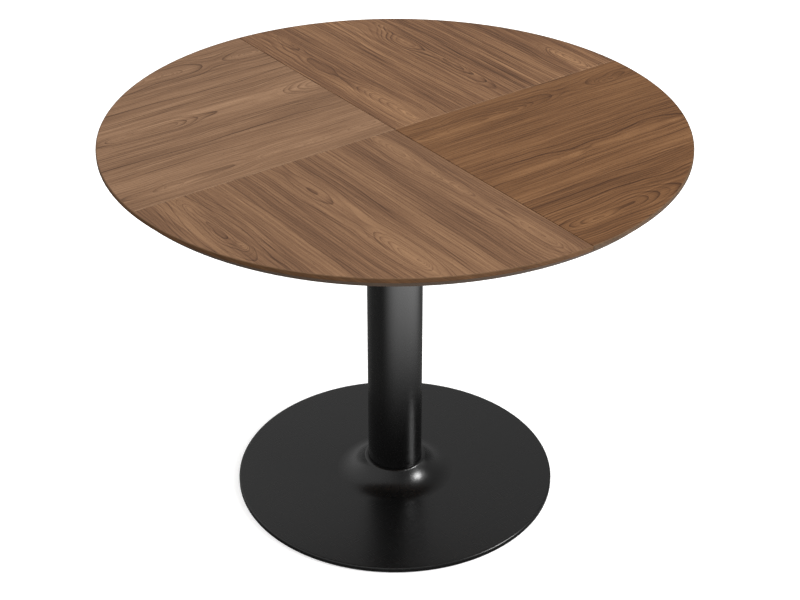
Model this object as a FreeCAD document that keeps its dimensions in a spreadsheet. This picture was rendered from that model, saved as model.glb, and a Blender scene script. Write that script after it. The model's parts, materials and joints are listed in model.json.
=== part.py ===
import FreeCAD, Part
import math
import os
import Sketcher

# Round pedestal table. Its top is in two halves that pull apart on geared wooden slides, and it
# stands on one steel column in a spun steel base. Lengths are in millimetres and angles in degrees.
# +Z is up, and the origin is on the floor under the column's axis. The halves part along X, so the
# split between them lies in the plane X = 0. Front is towards -Y and left is towards -X.
# The right half and what belongs to it are the left half's pieces turned 180 degrees about Z.

SIZES = [
    # The top, from its face down
    ("table_height", 755, "floor to the table's face"),
    ("top_radius", 525, "radius of the closed top"),
    ("veneer", 1, "thickness of the face veneer"),
    ("core", 20, "thickness of the fibreboard core"),
    ("backing", 1, "thickness of the backing sheet"),
    ("rim", 7, "height of the upright rim"),
    ("bevel_width", 15, "how far the underside's bevel reaches in"),
    ("band", 2, "thickness of the solid wood edge band"),
    ("arris", 1.5, "rounding of the rim's upper edge"),
    ("split_gap", 0.8, "gap between the closed halves"),
    ("groove", 0.8, "bevel on the veneer's edge at each joint"),
    ("travel", 225, "how far each half pulls out"),
    # The base
    ("base_radius", 310, "radius of the base cover"),
    ("rim_clearance", 2, "floor to the base cover's edge"),
    ("sheet", 2, "wall of the base cover"),
    ("plate", 5, "thickness of the ballast plate"),
    ("base_edge", 3, "rounding of the base cover's edge"),
    ("rolled_lip", 10, "width of the cover's lip under the plate"),
    ("plate_fit", 0.4, "gap between the ballast plate and the cover"),
    ("hub_foot", 114, "radius where the hub rises from the flat"),
    ("hub_rise", 37, "height of the hub above the flat"),
    ("lip_width", 3, "flat lip around the column"),
    ("shoulder", 5, "radius of the hub's shoulder"),
    ("neck", 12, "depth of the cover's neck along the column"),
    ("neck_fit", 0.5, "gap between the neck and the column"),
    ("glide_inset", 50, "a floor glide's middle, in from the base's radius"),
    ("glide_radius", 15, "radius of a glide's pad"),
    ("stem_radius", 4, "radius of a glide's stem"),
    # The column and its tie rod
    ("column_radius", 52.5, "outside radius of the column"),
    ("column_wall", 3, "wall of the column"),
    ("spigot_wall", 7, "wall of the ring that centres the column's top"),
    ("spigot_fit", 0.3, "gap between the column and what centres it"),
    ("spigot_depth", 12, "how far a spigot reaches into the column"),
    ("boss_radius", 20, "radius of the threaded boss"),
    ("boss_height", 32, "height of the threaded boss"),
    ("boss_floor", 3, "thickness left under the boss's thread"),
    ("rod_radius", 8, "radius of the tie rod"),
    ("rod_fit", 0.2, "gap around the tie rod in its holes"),
    ("washer_radius", 17, "radius of the tie rod's washer"),
    ("washer", 3, "thickness of the tie rod's washer"),
    ("nut_height", 13, "height of the tie rod's nut"),
    ("nut_corner", 13.86, "centre to corner of the tie rod's nut"),
    ("rod_end", 4, "how far the tie rod passes its nut"),
    ("rod_point", 1.5, "chamfer on the tie rod's end"),
    # The frame under the top
    ("spider", 6, "thickness of the top plate"),
    ("spider_half", 150, "half of the top plate's length along X"),
    ("spider_corner", 12, "radius of the top plate's corners"),
    ("spider_edge", 3, "fixed rail to the top plate's edge"),
    ("slide_line", 150, "column's axis to a fixed rail's centre"),
    ("rail_half", 280, "half of a fixed rail's length"),
    ("rail_width", 24, "width of a fixed rail"),
    ("rail_height", 46, "height of a fixed rail"),
    ("rail_play", 2, "fixed rail to the underside of the top"),
    ("slide_play", 0.5, "gap beside a sliding face"),
    ("tongue", 8, "height of the groove in a fixed rail"),
    ("tongue_depth", 6, "depth of the groove in a fixed rail"),
    ("runner_width", 20, "width of a runner"),
    ("runner_lift", 2.5, "top plate to the underside of a runner"),
    ("runner_inset", 125, "a runner's outer end, in from the top's radius"),
    ("runner_tail", 200, "split to the end of a runner's tail"),
    ("tail_relief", 1.5, "top of a tail to the other half"),
    ("seat_inset", 4, "split to where a runner's top is relieved"),
    ("tie_bar", 4, "thickness of a tie bar"),
    ("tie_width", 30, "width of a tie bar"),
    ("tie_inset", 5, "end of a rail to its tie bar"),
    ("stop_radius", 3, "radius of a stop pin"),
    ("stop_inset", 10, "end of a tail to its stop pin"),
    ("stop_depth", 12, "how far a stop pin reaches into its runner"),
    ("stop_drop", 4, "how far a stop pin hangs beside the top plate"),
    ("ear", 17, "how far a stop ear stands out"),
    # The gear that keeps the halves in step
    ("gear_module", 2.5, "module of the pinion and the racks"),
    ("gear_teeth", 24, "teeth on the pinion"),
    ("backlash", 0.4, "play between the teeth"),
    ("gear_face", 10, "thickness of the pinion"),
    ("rack_face", 8, "thickness of a rack"),
    ("rack_back", 14, "pitch line to a rack's back"),
    ("rack_start", 180, "split to a rack's fixed end"),
    ("rack_block", 150, "length of the block over a rack"),
    ("channel_half", 60, "half of the gear channel's length"),
    ("channel_wall", 2.5, "wall of the gear channel"),
    ("channel_side", 12.5, "height of the gear channel's sides"),
    ("channel_fit", 0.4, "gap behind a rack in the channel"),
    ("standoff", 24.5, "height of the gear channel's standoffs"),
    ("standoff_radius", 6, "radius of a standoff"),
    ("standoff_x", 45, "column's axis to the standoffs along the channel"),
    ("standoff_y", 15, "column's axis to the standoffs across the channel"),
    ("axle_radius", 5, "radius of the pinion's axle"),
    ("axle_fit", 0.05, "running gap around the axle"),
    ("collar", 1.2, "thickness of the axle's collar"),
    ("collar_width", 4, "how far the collar and the clip stand out from the axle"),
    ("clip_groove", 0.6, "depth of the clip's groove"),
    ("clip_fit", 0.1, "play of the clip in its groove"),
    ("axle_end", 3.5, "pinion to the axle's upper end"),
    ("axial_play", 0.3, "gap between the collar and the pinion"),
    ("clip", 1, "thickness of the axle's clip"),
    # Fasteners, pins and locks
    ("wood_screw", 2.5, "shank radius of a runner's or rail's screw"),
    ("small_screw", 2, "shank radius of a small screw"),
    ("screw_fit", 0.2, "gap around a screw's shank"),
    ("recess", 12, "depth of a screw's recess in a runner"),
    ("runner_screw", 45, "length of a runner's screw"),
    ("rail_screw", 36, "length of a rail's screw"),
    ("rail_screw_step", 110, "between the screws of a rail on the top plate"),
    ("short_screw", 12, "length of a screw into the underside"),
    ("screw_inset", 30, "a runner's end screws, from its outer end and from the split"),
    ("rack_screw_inset", 15, "outer end of a rack's block to its screw"),
    ("rack_screw_step", 80, "between a rack's screws"),
    ("dowel_radius", 4, "radius of an alignment dowel"),
    ("dowel_nose", 3, "length of a dowel's tapered nose"),
    ("dowel_inset", 85, "the outer dowels, in from the top's radius"),
    ("dowel_step", 150, "outer dowels to the next ones"),
    ("dowel_inner", 110, "column's axis to the inner dowels"),
    ("dowel_reach", 12, "how far a dowel stands out of its half"),
    ("dowel_fit", 0.25, "gap between a dowel and its socket"),
    ("socket_wall", 2, "wall of a dowel's socket"),
    ("socket_spare", 5, "how much deeper a socket is than its dowel reaches"),
    ("lock_inset", 185, "a table lock, in from the top's radius"),
    ("lock_pivot", 32, "split to a lock lever's pivot"),
    ("lock_post", 22, "split to a lock's post"),
    ("lever", 4, "thickness of a lock lever"),
    ("lever_drop", 5, "underside of the top to a lock lever"),
    ("lever_swing", 75, "how far a lock lever turns"),
    ("post_radius", 4, "radius of a lock's post"),
    ("pivot_radius", 3, "radius of a lock lever's pivot"),
    ("pivot_fit", 0.08, "running gap around a lock lever's pivot"),
    ("pivot_head", 2.2, "height of a pivot's head"),
    ("pivot_play", 0.3, "play of a lever between its pivot's head and its plate's boss"),
    ("lock_plate", 2, "thickness of a lock's plate and keeper"),
    ("lock_width", 32, "width of a lock's plate and keeper"),
    ("lock_reach", 26, "a lever's pivot to the ends of its plate"),
    ("lock_boss", 8, "radius of the boss around a pivot"),
    ("keeper_start", 4, "split to a keeper"),
    ("keeper_length", 40, "length of a keeper"),
    ("lock_screw", 18, "a lever's pivot to its plate's screws"),
    ("keeper_screw", 13, "a lock's post to its keeper's screws"),
    ("lock_screw_side", 10, "a lock's middle line to its screws"),
    ("hook_fit", 1.2, "gap between a post and the slot in its hook"),
    ("hook_wall", 7.5, "wall of a hook on both sides of its slot"),
    ("lever_hub", 9, "radius of a lever around its pivot"),
    ("lever_arm", 11, "width of a lever between hub and hook"),
    ("handle", 58, "a lever's pivot to its grip"),
    ("handle_width", 10, "width of a lever's handle"),
    ("grip_radius", 8, "radius of a lever's grip"),
    ("grip_drop", 8, "how far a grip hangs below its lever"),
]
GLIDES = 6
RUNNER_SCREWS = 4
HEXAGON = 6
OVERRUN = 1  # how far a cutting tool passes the face that it cuts
HEAD_SHARE = 2  # a screw's head radius over its shank radius
HANDLE_ANGLE = 150  # from a lever's hook round to its handle

doc = FreeCAD.newDocument("pedestal_table")
sheet = doc.addObject("Spreadsheet::Sheet", "Sizes")
for row, (alias, amount, meaning) in enumerate(SIZES, start=1):
    sheet.set(f"A{row}", meaning)
    sheet.set(f"B{row}", str(amount))
    sheet.setAlias(f"B{row}", alias)
doc.recompute()


class Size:
    """A length worked out from the sheet, with the expression that ties it to the sheet."""

    def __init__(self, text, value):
        self.text = text
        self.value = value

    def joined(self, sign, other, value):
        return Size(f"({self.text} {sign} {other.text})", value)

    def __add__(self, other):
        other = as_size(other)
        return self.joined("+", other, self.value + other.value)

    def __sub__(self, other):
        other = as_size(other)
        return self.joined("-", other, self.value - other.value)

    def __mul__(self, other):
        other = as_size(other)
        return self.joined("*", other, self.value * other.value)

    def __truediv__(self, other):
        other = as_size(other)
        return self.joined("/", other, self.value / other.value)

    def __radd__(self, other):
        return as_size(other) + self

    def __rsub__(self, other):
        return as_size(other) - self

    def __rmul__(self, other):
        return as_size(other) * self

    def __neg__(self):
        return as_size(0) - self


def as_size(amount):
    return amount if isinstance(amount, Size) else Size(f"{amount:.6f}", float(amount))


class Sheet:
    """Gives each aliased cell of the sheet as a Size."""

    def __getattr__(self, alias):
        return Size(f"Sizes.{alias}", float(sheet.get(alias)))


S = Sheet()

# Heights that several pieces share, from the floor up
PLATE_BOTTOM = S.rim_clearance + S.sheet
PLATE_TOP = PLATE_BOTTOM + S.plate
BASE_FLAT = PLATE_TOP + S.sheet
CORE_TOP = S.table_height - S.veneer
CORE_BOTTOM = CORE_TOP - S.core
UNDERSIDE = CORE_BOTTOM - S.backing
CORE_MIDDLE = CORE_TOP - S.core / 2
RAIL_BOTTOM = UNDERSIDE - S.rail_play - S.rail_height
SPIDER_BOTTOM = RAIL_BOTTOM - S.spider
CHANNEL_FLOOR = RAIL_BOTTOM + S.standoff + S.channel_wall
GEAR_BOTTOM = CHANNEL_FLOOR + S.collar + S.axial_play
GEAR_TOP = GEAR_BOTTOM + S.gear_face
RACK_BOTTOM = GEAR_BOTTOM + (S.gear_face - S.rack_face) / 2
RACK_TOP = RACK_BOTTOM + S.rack_face
RUNNER_BOTTOM = RAIL_BOTTOM + S.runner_lift
TONGUE_MIDDLE = RAIL_BOTTOM + S.rail_height / 2
RUNNER_FACE = S.rail_width / 2 + S.slide_play
RUNNER_MIDDLE = RUNNER_FACE + S.runner_width / 2
PITCH_RADIUS = S.gear_module * S.gear_teeth / 2
SOCKET_DEPTH = S.dowel_reach + S.socket_spare
GLIDE_CIRCLE = S.base_radius - S.glide_inset
RUNNER_BACK = S.top_radius - S.runner_inset
LOCK_LINE = S.top_radius - S.lock_inset
HOOK_RADIUS = S.lock_pivot + S.lock_post
LEVER_TOP = UNDERSIDE - S.lever_drop
LEVER_BOTTOM = LEVER_TOP - S.lever
BEVEL_RISE = S.veneer + S.core + S.backing - S.rim
CAP_RADIUS = S.top_radius - S.band


# ---------------------------------------------------------------- general helpers
def tie(thing, **amounts):
    """Ties properties to the sheet. A double underscore stands for a dot in a property's path."""
    for path, amount in amounts.items():
        thing.setExpression(path.replace("__", "."), as_size(amount).text)
    return thing


def at(thing, x=0, y=0, z=0):
    return tie(thing, Placement__Base__x=x, Placement__Base__y=y, Placement__Base__z=z)


def turned(thing, angle):
    """Turns a finished object about the table's axis."""
    thing.Placement = FreeCAD.Placement(
        FreeCAD.Vector(), FreeCAD.Rotation(FreeCAD.Vector(0, 0, 1), angle)
    )
    return thing


def box(x, y, z, length, width, height):
    block = doc.addObject("Part::Box", "block")
    tie(block, Length=length, Width=width, Height=height)
    return at(block, x, y, z)


def rod(radius, height, x=0, y=0, z=0, sweep=360, start=0, along_x=False):
    """An upright cylinder, or a sector of one, or with along_x one that lies along +X."""
    cylinder = doc.addObject("Part::Cylinder", "cylinder")
    if along_x:
        cylinder.Placement.Rotation = FreeCAD.Rotation(FreeCAD.Vector(0, 1, 0), 90)
    elif start:
        cylinder.Placement.Rotation = FreeCAD.Rotation(FreeCAD.Vector(0, 0, 1), start)
    tie(cylinder, Radius=radius, Height=height, Angle=sweep)
    return at(cylinder, x, y, z)


def cone(radius_low, radius_high, height, x=0, y=0, z=0, along_x=False):
    taper = doc.addObject("Part::Cone", "taper")
    if along_x:
        taper.Placement.Rotation = FreeCAD.Rotation(FreeCAD.Vector(0, 1, 0), 90)
    tie(taper, Radius1=radius_low, Radius2=radius_high, Height=height)
    return at(taper, x, y, z)


def fuse(*pieces):
    joined = doc.addObject("Part::MultiFuse", "joined")
    joined.Shapes = list(pieces)
    joined.Refine = True
    return joined


def group(*pieces):
    """Separate solids kept in one object."""
    bundle = doc.addObject("Part::Compound", "bundle")
    bundle.Links = list(pieces)
    return bundle


def cut(base, *tools):
    result = doc.addObject("Part::Cut", "result")
    result.Base = base
    result.Tool = tools[0] if len(tools) == 1 else group(*tools)
    return result


def tube(outer, inner, height, x=0, y=0, z=0):
    bore = rod(inner, height + 2 * OVERRUN, x, y, as_size(z) - OVERRUN)
    return cut(rod(outer, height, x, y, z), bore)


def axis_plane(body, role):
    return next(item for item in body.Origin.OriginFeatures if item.Role == role)


def sketch_on(body, role, height=0):
    sketch = body.newObject("Sketcher::SketchObject", "outline")
    sketch.AttachmentSupport = (axis_plane(body, role), [""])
    sketch.MapMode = "FlatFace"
    tie(sketch, AttachmentOffset__Base__z=height)
    return sketch


def hold(sketch, kind, name, amount, *where):
    """Adds a constraint whose value comes from the sheet."""
    amount = as_size(amount)
    number = sketch.addConstraint(Sketcher.Constraint(kind, *where, amount.value))
    sketch.renameConstraint(number, name)
    sketch.setExpression(f"Constraints.{name}", amount.text)


def outline(sketch, corners):
    """Draws a closed outline. A corner is (x, y), or (x, y, radius, bend) where an arc leads on to
    the next corner; bend is 1 for an arc that turns left and -1 for one that turns right."""
    spots = [FreeCAD.Vector(as_size(c[0]).value, as_size(c[1]).value, 0) for c in corners]
    starts = []
    for number, corner in enumerate(corners):
        begin, end = spots[number], spots[(number + 1) % len(spots)]
        if len(corner) == 2:
            sketch.addGeometry(Part.LineSegment(begin, end), False)
            starts.append((1, 2))
            continue
        radius, bend = as_size(corner[2]), corner[3]
        chord = end - begin
        side = FreeCAD.Vector(-chord.y, chord.x, 0) * (bend / chord.Length)
        reach = math.sqrt(max(radius.value**2 - chord.Length**2 / 4, 0))
        centre = begin + chord * 0.5 + side * reach
        middle = centre - side * radius.value
        sketch.addGeometry(Part.Arc(begin, middle, end), False)
        starts.append((1, 2) if bend > 0 else (2, 1))
        hold(sketch, "Radius", f"bend{number}", radius, number)
    for number, (_, last) in enumerate(starts):
        following = (number + 1) % len(starts)
        first = starts[following][0]
        sketch.addConstraint(Sketcher.Constraint("Coincident", number, last, following, first))
    for number, corner in enumerate(corners):
        first = starts[number][0]
        hold(sketch, "DistanceX", f"across{number}", corner[0], -1, 1, number, first)
        hold(sketch, "DistanceY", f"up{number}", corner[1], -1, 1, number, first)
    return sketch


def revolved(corners, sweep=360):
    """A body turned about the table's axis from an outline of (radius, height) corners. A sweep of
    180 starts at +Y and passes -X, which is the left half."""
    body = doc.addObject("PartDesign::Body", "turning")
    sketch = outline(sketch_on(body, "YZ_Plane"), corners)
    turning = body.newObject("PartDesign::Revolution", "revolve")
    turning.Profile = sketch
    turning.ReferenceAxis = (sketch, ["V_Axis"])
    turning.Angle = sweep
    return body


def padded(corners, low, thickness, role="XY_Plane"):
    """A body with a flat outline, pulled out of its plane by a thickness."""
    body = doc.addObject("PartDesign::Body", "plate")
    sketch = outline(sketch_on(body, role, low), corners)
    pad = body.newObject("PartDesign::Pad", "pad")
    pad.Profile = sketch
    tie(pad, Length=thickness)
    return body


def edges_where(shape, test):
    return [f"Edge{number}" for number, edge in enumerate(shape.Edges, start=1) if test(edge)]


def upright(edge):
    box_of_edge = edge.BoundBox
    return box_of_edge.ZLength > 0.5 and box_of_edge.XLength < 0.01 and box_of_edge.YLength < 0.01


def node(name, thing, angle=0):
    """Names a finished sub-part, turned about the table's axis where it belongs to the right half."""
    thing.Label = name
    if angle:
        turned(thing, angle)
    NODES.append(thing)
    return thing


NODES = []


# ---------------------------------------------------------------- fasteners
def screw(x, y, seat, length, shank, head, upwards=True):
    """A screw whose head bears on the height called seat, with its shank above it, or below it
    where upwards is False. The head is domed as a cone and has a hexagon socket, and the shank
    ends in a point as long as its own radius."""
    head_height = head * 0.6
    socket_depth = head_height * 0.6
    straight = length - shank
    crown, point = head * 0.75, shank * 0.4
    if upwards:
        pieces = (
            cone(crown, head, head_height, x, y, seat - head_height),
            rod(shank, straight, x, y, seat),
            cone(shank, point, shank, x, y, seat + straight),
        )
        socket_low = seat - head_height
    else:
        pieces = (
            cone(head, crown, head_height, x, y, seat),
            rod(shank, straight, x, y, seat - straight),
            cone(point, shank, shank, x, y, seat - length),
        )
        socket_low = seat + head_height - socket_depth
    return cut(fuse(*pieces), hexagon(head * 0.4, socket_depth, x, y, socket_low))


def hexagon(corner, height, x, y, z):
    prism = doc.addObject("Part::Prism", "hexagon")
    prism.Polygon = HEXAGON
    tie(prism, Circumradius=corner, Height=height)
    return at(prism, x, y, z)


def drill(x, y, low, high, shank):
    """The clearance hole for a shank between two heights."""
    return rod(shank + S.screw_fit, high - low, x, y, low)


# ---------------------------------------------------------------- the base
def make_base_cover():
    """Spun sheet: a flat disc with a rim rolled under the plate and a hub that hugs the column."""
    lip_in = S.column_radius + S.neck_fit
    lip_out = lip_in + S.lip_width
    lip_height = BASE_FLAT + S.hub_rise
    run = S.hub_foot - lip_out
    both_radii = (run * run + S.hub_rise * S.hub_rise) / (2 * S.hub_rise)
    foot = both_radii - S.shoulder
    lean_x = run / both_radii
    lean_z = 1 - S.hub_rise / both_radii
    centre_z = lip_height - S.shoulder
    inner_shoulder = S.shoulder - S.sheet
    corners = [
        (S.base_radius - S.rolled_lip, S.rim_clearance),
        (S.base_radius, S.rim_clearance),
        (S.base_radius, BASE_FLAT - S.base_edge, S.base_edge, 1),
        (S.base_radius - S.base_edge, BASE_FLAT),
        (S.hub_foot, BASE_FLAT, foot, -1),
        (lip_out + S.shoulder * lean_x, centre_z + S.shoulder * lean_z, S.shoulder, 1),
        (lip_out, lip_height),
        (lip_in, lip_height),
        (lip_in, lip_height - S.neck),
        (lip_in + S.sheet, lip_height - S.neck),
        (lip_in + S.sheet, lip_height - S.sheet),
        (lip_out, lip_height - S.sheet, inner_shoulder, -1),
        (lip_out + inner_shoulder * lean_x, centre_z + inner_shoulder * lean_z, foot + S.sheet, 1),
        (S.hub_foot, PLATE_TOP),
        (S.base_radius - S.sheet, PLATE_TOP),
        (S.base_radius - S.sheet, PLATE_BOTTOM),
        (S.base_radius - S.rolled_lip, PLATE_BOTTOM),
    ]
    return node("base_cover", revolved(corners))


def make_base_plate():
    """The ballast disc, with a ring of holes for the glides' stems."""
    body = doc.addObject("PartDesign::Body", "plate")
    sketch = sketch_on(body, "XY_Plane", PLATE_BOTTOM)
    radius = S.base_radius - S.sheet - S.plate_fit
    sketch.addGeometry(Part.Circle(FreeCAD.Vector(), FreeCAD.Vector(0, 0, 1), radius.value), False)
    sketch.addConstraint(Sketcher.Constraint("Coincident", 0, 3, -1, 1))
    hold(sketch, "Radius", "outer", radius, 0)
    pad = body.newObject("PartDesign::Pad", "pad")
    pad.Profile = sketch
    tie(pad, Length=S.plate)
    bore = sketch_on(body, "XY_Plane", PLATE_BOTTOM)
    place = FreeCAD.Vector(GLIDE_CIRCLE.value, 0, 0)
    stem_hole = S.stem_radius + S.screw_fit
    bore.addGeometry(Part.Circle(place, FreeCAD.Vector(0, 0, 1), stem_hole.value), False)
    hold(bore, "Radius", "stem", stem_hole, 0)
    hold(bore, "DistanceX", "out", GLIDE_CIRCLE, -1, 1, 0, 3)
    hold(bore, "DistanceY", "side", 0, -1, 1, 0, 3)
    pocket = body.newObject("PartDesign::Pocket", "stem_hole")
    pocket.Profile = bore
    pocket.Type = "ThroughAll"
    pocket.Reversed = True
    doc.recompute()
    ring = body.newObject("PartDesign::PolarPattern", "stem_holes")
    ring.Originals = [pocket]
    ring.Axis = (axis_plane(body, "Z_Axis"), [""])
    ring.Angle = 360
    ring.Occurrences = GLIDES
    body.Tip = ring
    return node("base_plate", body)


def make_floor_glides():
    glides = []
    for number in range(GLIDES):
        pad = rod(S.glide_radius, PLATE_BOTTOM, GLIDE_CIRCLE)
        stem = rod(S.stem_radius, S.plate - S.screw_fit, GLIDE_CIRCLE, 0, PLATE_BOTTOM)
        glides.append(turned(fuse(pad, stem), number * 360 / GLIDES))
    return node("floor_glides", group(*glides))


# ---------------------------------------------------------------- the column
def make_column():
    """The tube, what centres each of its ends, and the rod that clamps the whole stand."""
    bore = S.column_radius - S.column_wall
    centring = bore - S.spigot_fit
    rod_hole = S.rod_radius + S.rod_fit
    height = SPIDER_BOTTOM - PLATE_TOP
    node("column_tube", tube(S.column_radius, bore, height, z=PLATE_TOP))
    disc = rod(centring, S.spigot_depth, z=PLATE_TOP)
    barrel = rod(S.boss_radius, S.boss_height, z=PLATE_TOP)
    thread = rod(rod_hole, S.boss_height, z=PLATE_TOP + S.boss_floor)
    node("threaded_boss", cut(fuse(disc, barrel), thread))
    spigot_low = SPIDER_BOTTOM - S.spigot_depth
    node("top_spigot", tube(centring, centring - S.spigot_wall, S.spigot_depth, z=spigot_low))
    rod_low = PLATE_TOP + S.boss_floor + OVERRUN
    nut_low = RAIL_BOTTOM + S.washer
    rod_high = nut_low + S.nut_height + S.rod_end
    shank = rod(S.rod_radius, rod_high - rod_low - S.rod_point, z=rod_low)
    end = cone(S.rod_radius, S.rod_radius - S.rod_point, S.rod_point, z=rod_high - S.rod_point)
    node("tie_rod", fuse(shank, end))
    node("rod_washer", tube(S.washer_radius, rod_hole, S.washer, z=RAIL_BOTTOM))
    thread = rod(rod_hole, S.nut_height + 2 * OVERRUN, z=nut_low - OVERRUN)
    node("rod_nut", cut(hexagon(S.nut_corner, S.nut_height, 0, 0, nut_low), thread))


# ---------------------------------------------------------------- the fixed frame
TIE_BAR_MIDDLE = S.rail_half - S.tie_inset - S.tie_width / 2
RAIL_SCREW_PLACES = [(x * S.rail_screw_step, y * S.slide_line) for y in (-1, 1) for x in (-1, 0, 1)]
TIE_SCREW_PLACES = [(x * TIE_BAR_MIDDLE, y * S.slide_line) for y in (-1, 1) for x in (-1, 1)]
STANDOFFS = [(x * S.standoff_x, y * S.standoff_y) for y in (-1, 1) for x in (-1, 1)]


def drills(places, low, high, shank):
    return [drill(x, y, low, high, shank) for x, y in places]


def make_top_plate():
    """The plate on the column. Its two ears stop the halves at the end of their travel."""
    half = S.spider_half
    edge = S.slide_line + S.rail_width / 2 + S.spider_edge
    ear_edge = edge + S.ear
    stop = S.travel - (S.runner_tail - S.stop_inset) + S.stop_radius + S.axial_play
    corners = [
        (-half, -edge),
        (stop, -edge),
        (stop, -ear_edge),
        (half, -ear_edge),
        (half, edge),
        (-stop, edge),
        (-stop, ear_edge),
        (-half, ear_edge),
    ]
    body = padded(corners, SPIDER_BOTTOM, S.spider)
    doc.recompute()
    pad = body.Tip

    def outer(edge):
        return upright(edge) and abs(edge.CenterOfMass.x) > half.value - OVERRUN

    fillet = body.newObject("PartDesign::Fillet", "corners")
    fillet.Base = (pad, edges_where(pad.Shape, outer))
    tie(fillet, Radius=S.spider_corner)
    body.Tip = fillet
    low, high = SPIDER_BOTTOM - OVERRUN, RAIL_BOTTOM + OVERRUN
    holes = drills(RAIL_SCREW_PLACES + STANDOFFS, low, high, S.wood_screw)
    holes.append(rod(S.rod_radius + S.rod_fit, high - low, z=low))
    node("top_plate", cut(body, *holes))


def make_fixed_rails():
    """Hardwood rails, grooved on both sides for the runners' tongues."""
    head = S.wood_screw * HEAD_SHARE
    for name, side in (("front_fixed_rail", -1), ("back_fixed_rail", 1)):
        low = side * S.slide_line - S.rail_width / 2
        rail = box(-S.rail_half, low, RAIL_BOTTOM, 2 * S.rail_half, S.rail_width, S.rail_height)
        groove_low = TONGUE_MIDDLE - S.tongue / 2
        start, length = -S.rail_half - OVERRUN, 2 * (S.rail_half + OVERRUN)
        grooves = [
            box(start, y, groove_low, length, S.tongue_depth + OVERRUN, S.tongue)
            for y in (low - OVERRUN, low + S.rail_width - S.tongue_depth)
        ]
        places = [
            place for place in RAIL_SCREW_PLACES + TIE_SCREW_PLACES if place[1].value * side > 0
        ]
        holes = drills(places, RAIL_BOTTOM - OVERRUN, RAIL_BOTTOM + S.rail_screw, S.wood_screw)
        node(name, cut(rail, *grooves, *holes))
    screws = [
        screw(x, y, SPIDER_BOTTOM, S.rail_screw, S.wood_screw, head) for x, y in RAIL_SCREW_PLACES
    ]
    node("rail_screws", group(*screws))


def make_tie_bars():
    """Flat steel bars that hold the rails' ends apart."""
    reach = S.slide_line + S.rail_width / 2
    low = RAIL_BOTTOM - S.tie_bar
    head = S.wood_screw * HEAD_SHARE
    for name, end in (("left_tie_bar", -1), ("right_tie_bar", 1)):
        x = end * TIE_BAR_MIDDLE - S.tie_width / 2
        bar = box(x, -reach, low, S.tie_width, 2 * reach, S.tie_bar)
        holes = drills(TIE_SCREW_PLACES, low - OVERRUN, RAIL_BOTTOM + OVERRUN, S.wood_screw)
        node(name, cut(bar, *holes))
    screws = [
        screw(x, y, low, S.rail_screw, S.wood_screw, head) for x, y in TIE_SCREW_PLACES
    ]
    node("tie_bar_screws", group(*screws))


# ---------------------------------------------------------------- the gear
def involute(base_radius, radius):
    """The angle in radians by which a flank has unwound where it reaches a radius."""
    ratio = max(radius / base_radius, 1)
    reach = math.sqrt(ratio * ratio - 1)
    return reach - math.atan(reach)


PRESSURE_ANGLE = math.radians(20)
DEDENDUM = 1.25  # depth of a tooth below the pitch line, in modules
FLANK_STEPS = 8
SPARE_TEETH = 3  # teeth that a rack has beyond its travel


def make_pinion():
    """A spur gear with involute teeth, one of them centred on +Y and one on -Y."""
    module, teeth = S.gear_module.value, round(S.gear_teeth.value)
    pitch = module * teeth / 2
    base = pitch * math.cos(PRESSURE_ANGLE)
    tip, root = pitch + module, pitch - DEDENDUM * module
    half_tooth = (math.pi * module / 2 - S.backlash.value / 2) / 2 / pitch
    at_pitch = involute(base, pitch)
    start = max(base, root)
    flank = []
    for step in range(FLANK_STEPS + 1):
        radius = start + (tip - start) * step / FLANK_STEPS
        flank.append((radius, half_tooth + at_pitch - involute(base, radius)))
    low = GEAR_BOTTOM.value

    def spot(radius, angle):
        return FreeCAD.Vector(radius * math.cos(angle), radius * math.sin(angle), low)

    edges = []
    pitch_angle = 2 * math.pi / teeth
    for tooth in range(teeth):
        middle = math.pi / 2 + tooth * pitch_angle
        rising = [spot(r, middle - a) for r, a in flank]
        falling = [spot(r, middle + a) for r, a in reversed(flank)]
        foot_angle = flank[0][1]
        foot = spot(root, middle - foot_angle)
        heel = spot(root, middle + foot_angle)
        next_foot = spot(root, middle + pitch_angle - foot_angle)
        edges.append(Part.makeLine(foot, rising[0]))
        edges.append(Part.makePolygon(rising))
        edges.append(Part.Arc(rising[-1], spot(tip, middle), falling[0]).toShape())
        edges.append(Part.makePolygon(falling))
        edges.append(Part.makeLine(falling[-1], heel))
        edges.append(Part.Arc(heel, spot(root, middle + pitch_angle / 2), next_foot).toShape())
    wires = [edge for item in edges for edge in item.Edges]
    blank = Part.Face(Part.Wire(wires)).extrude(FreeCAD.Vector(0, 0, S.gear_face.value))
    bore = Part.makeCylinder(
        (S.axle_radius + S.axle_fit).value, S.gear_face.value + 2 * OVERRUN,
        FreeCAD.Vector(0, 0, low - OVERRUN),
    )
    gear = doc.addObject("Part::Feature", "gear")
    gear.Shape = blank.cut(bore)
    gear.Placement = FreeCAD.Placement()
    node("pinion", gear)


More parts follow.
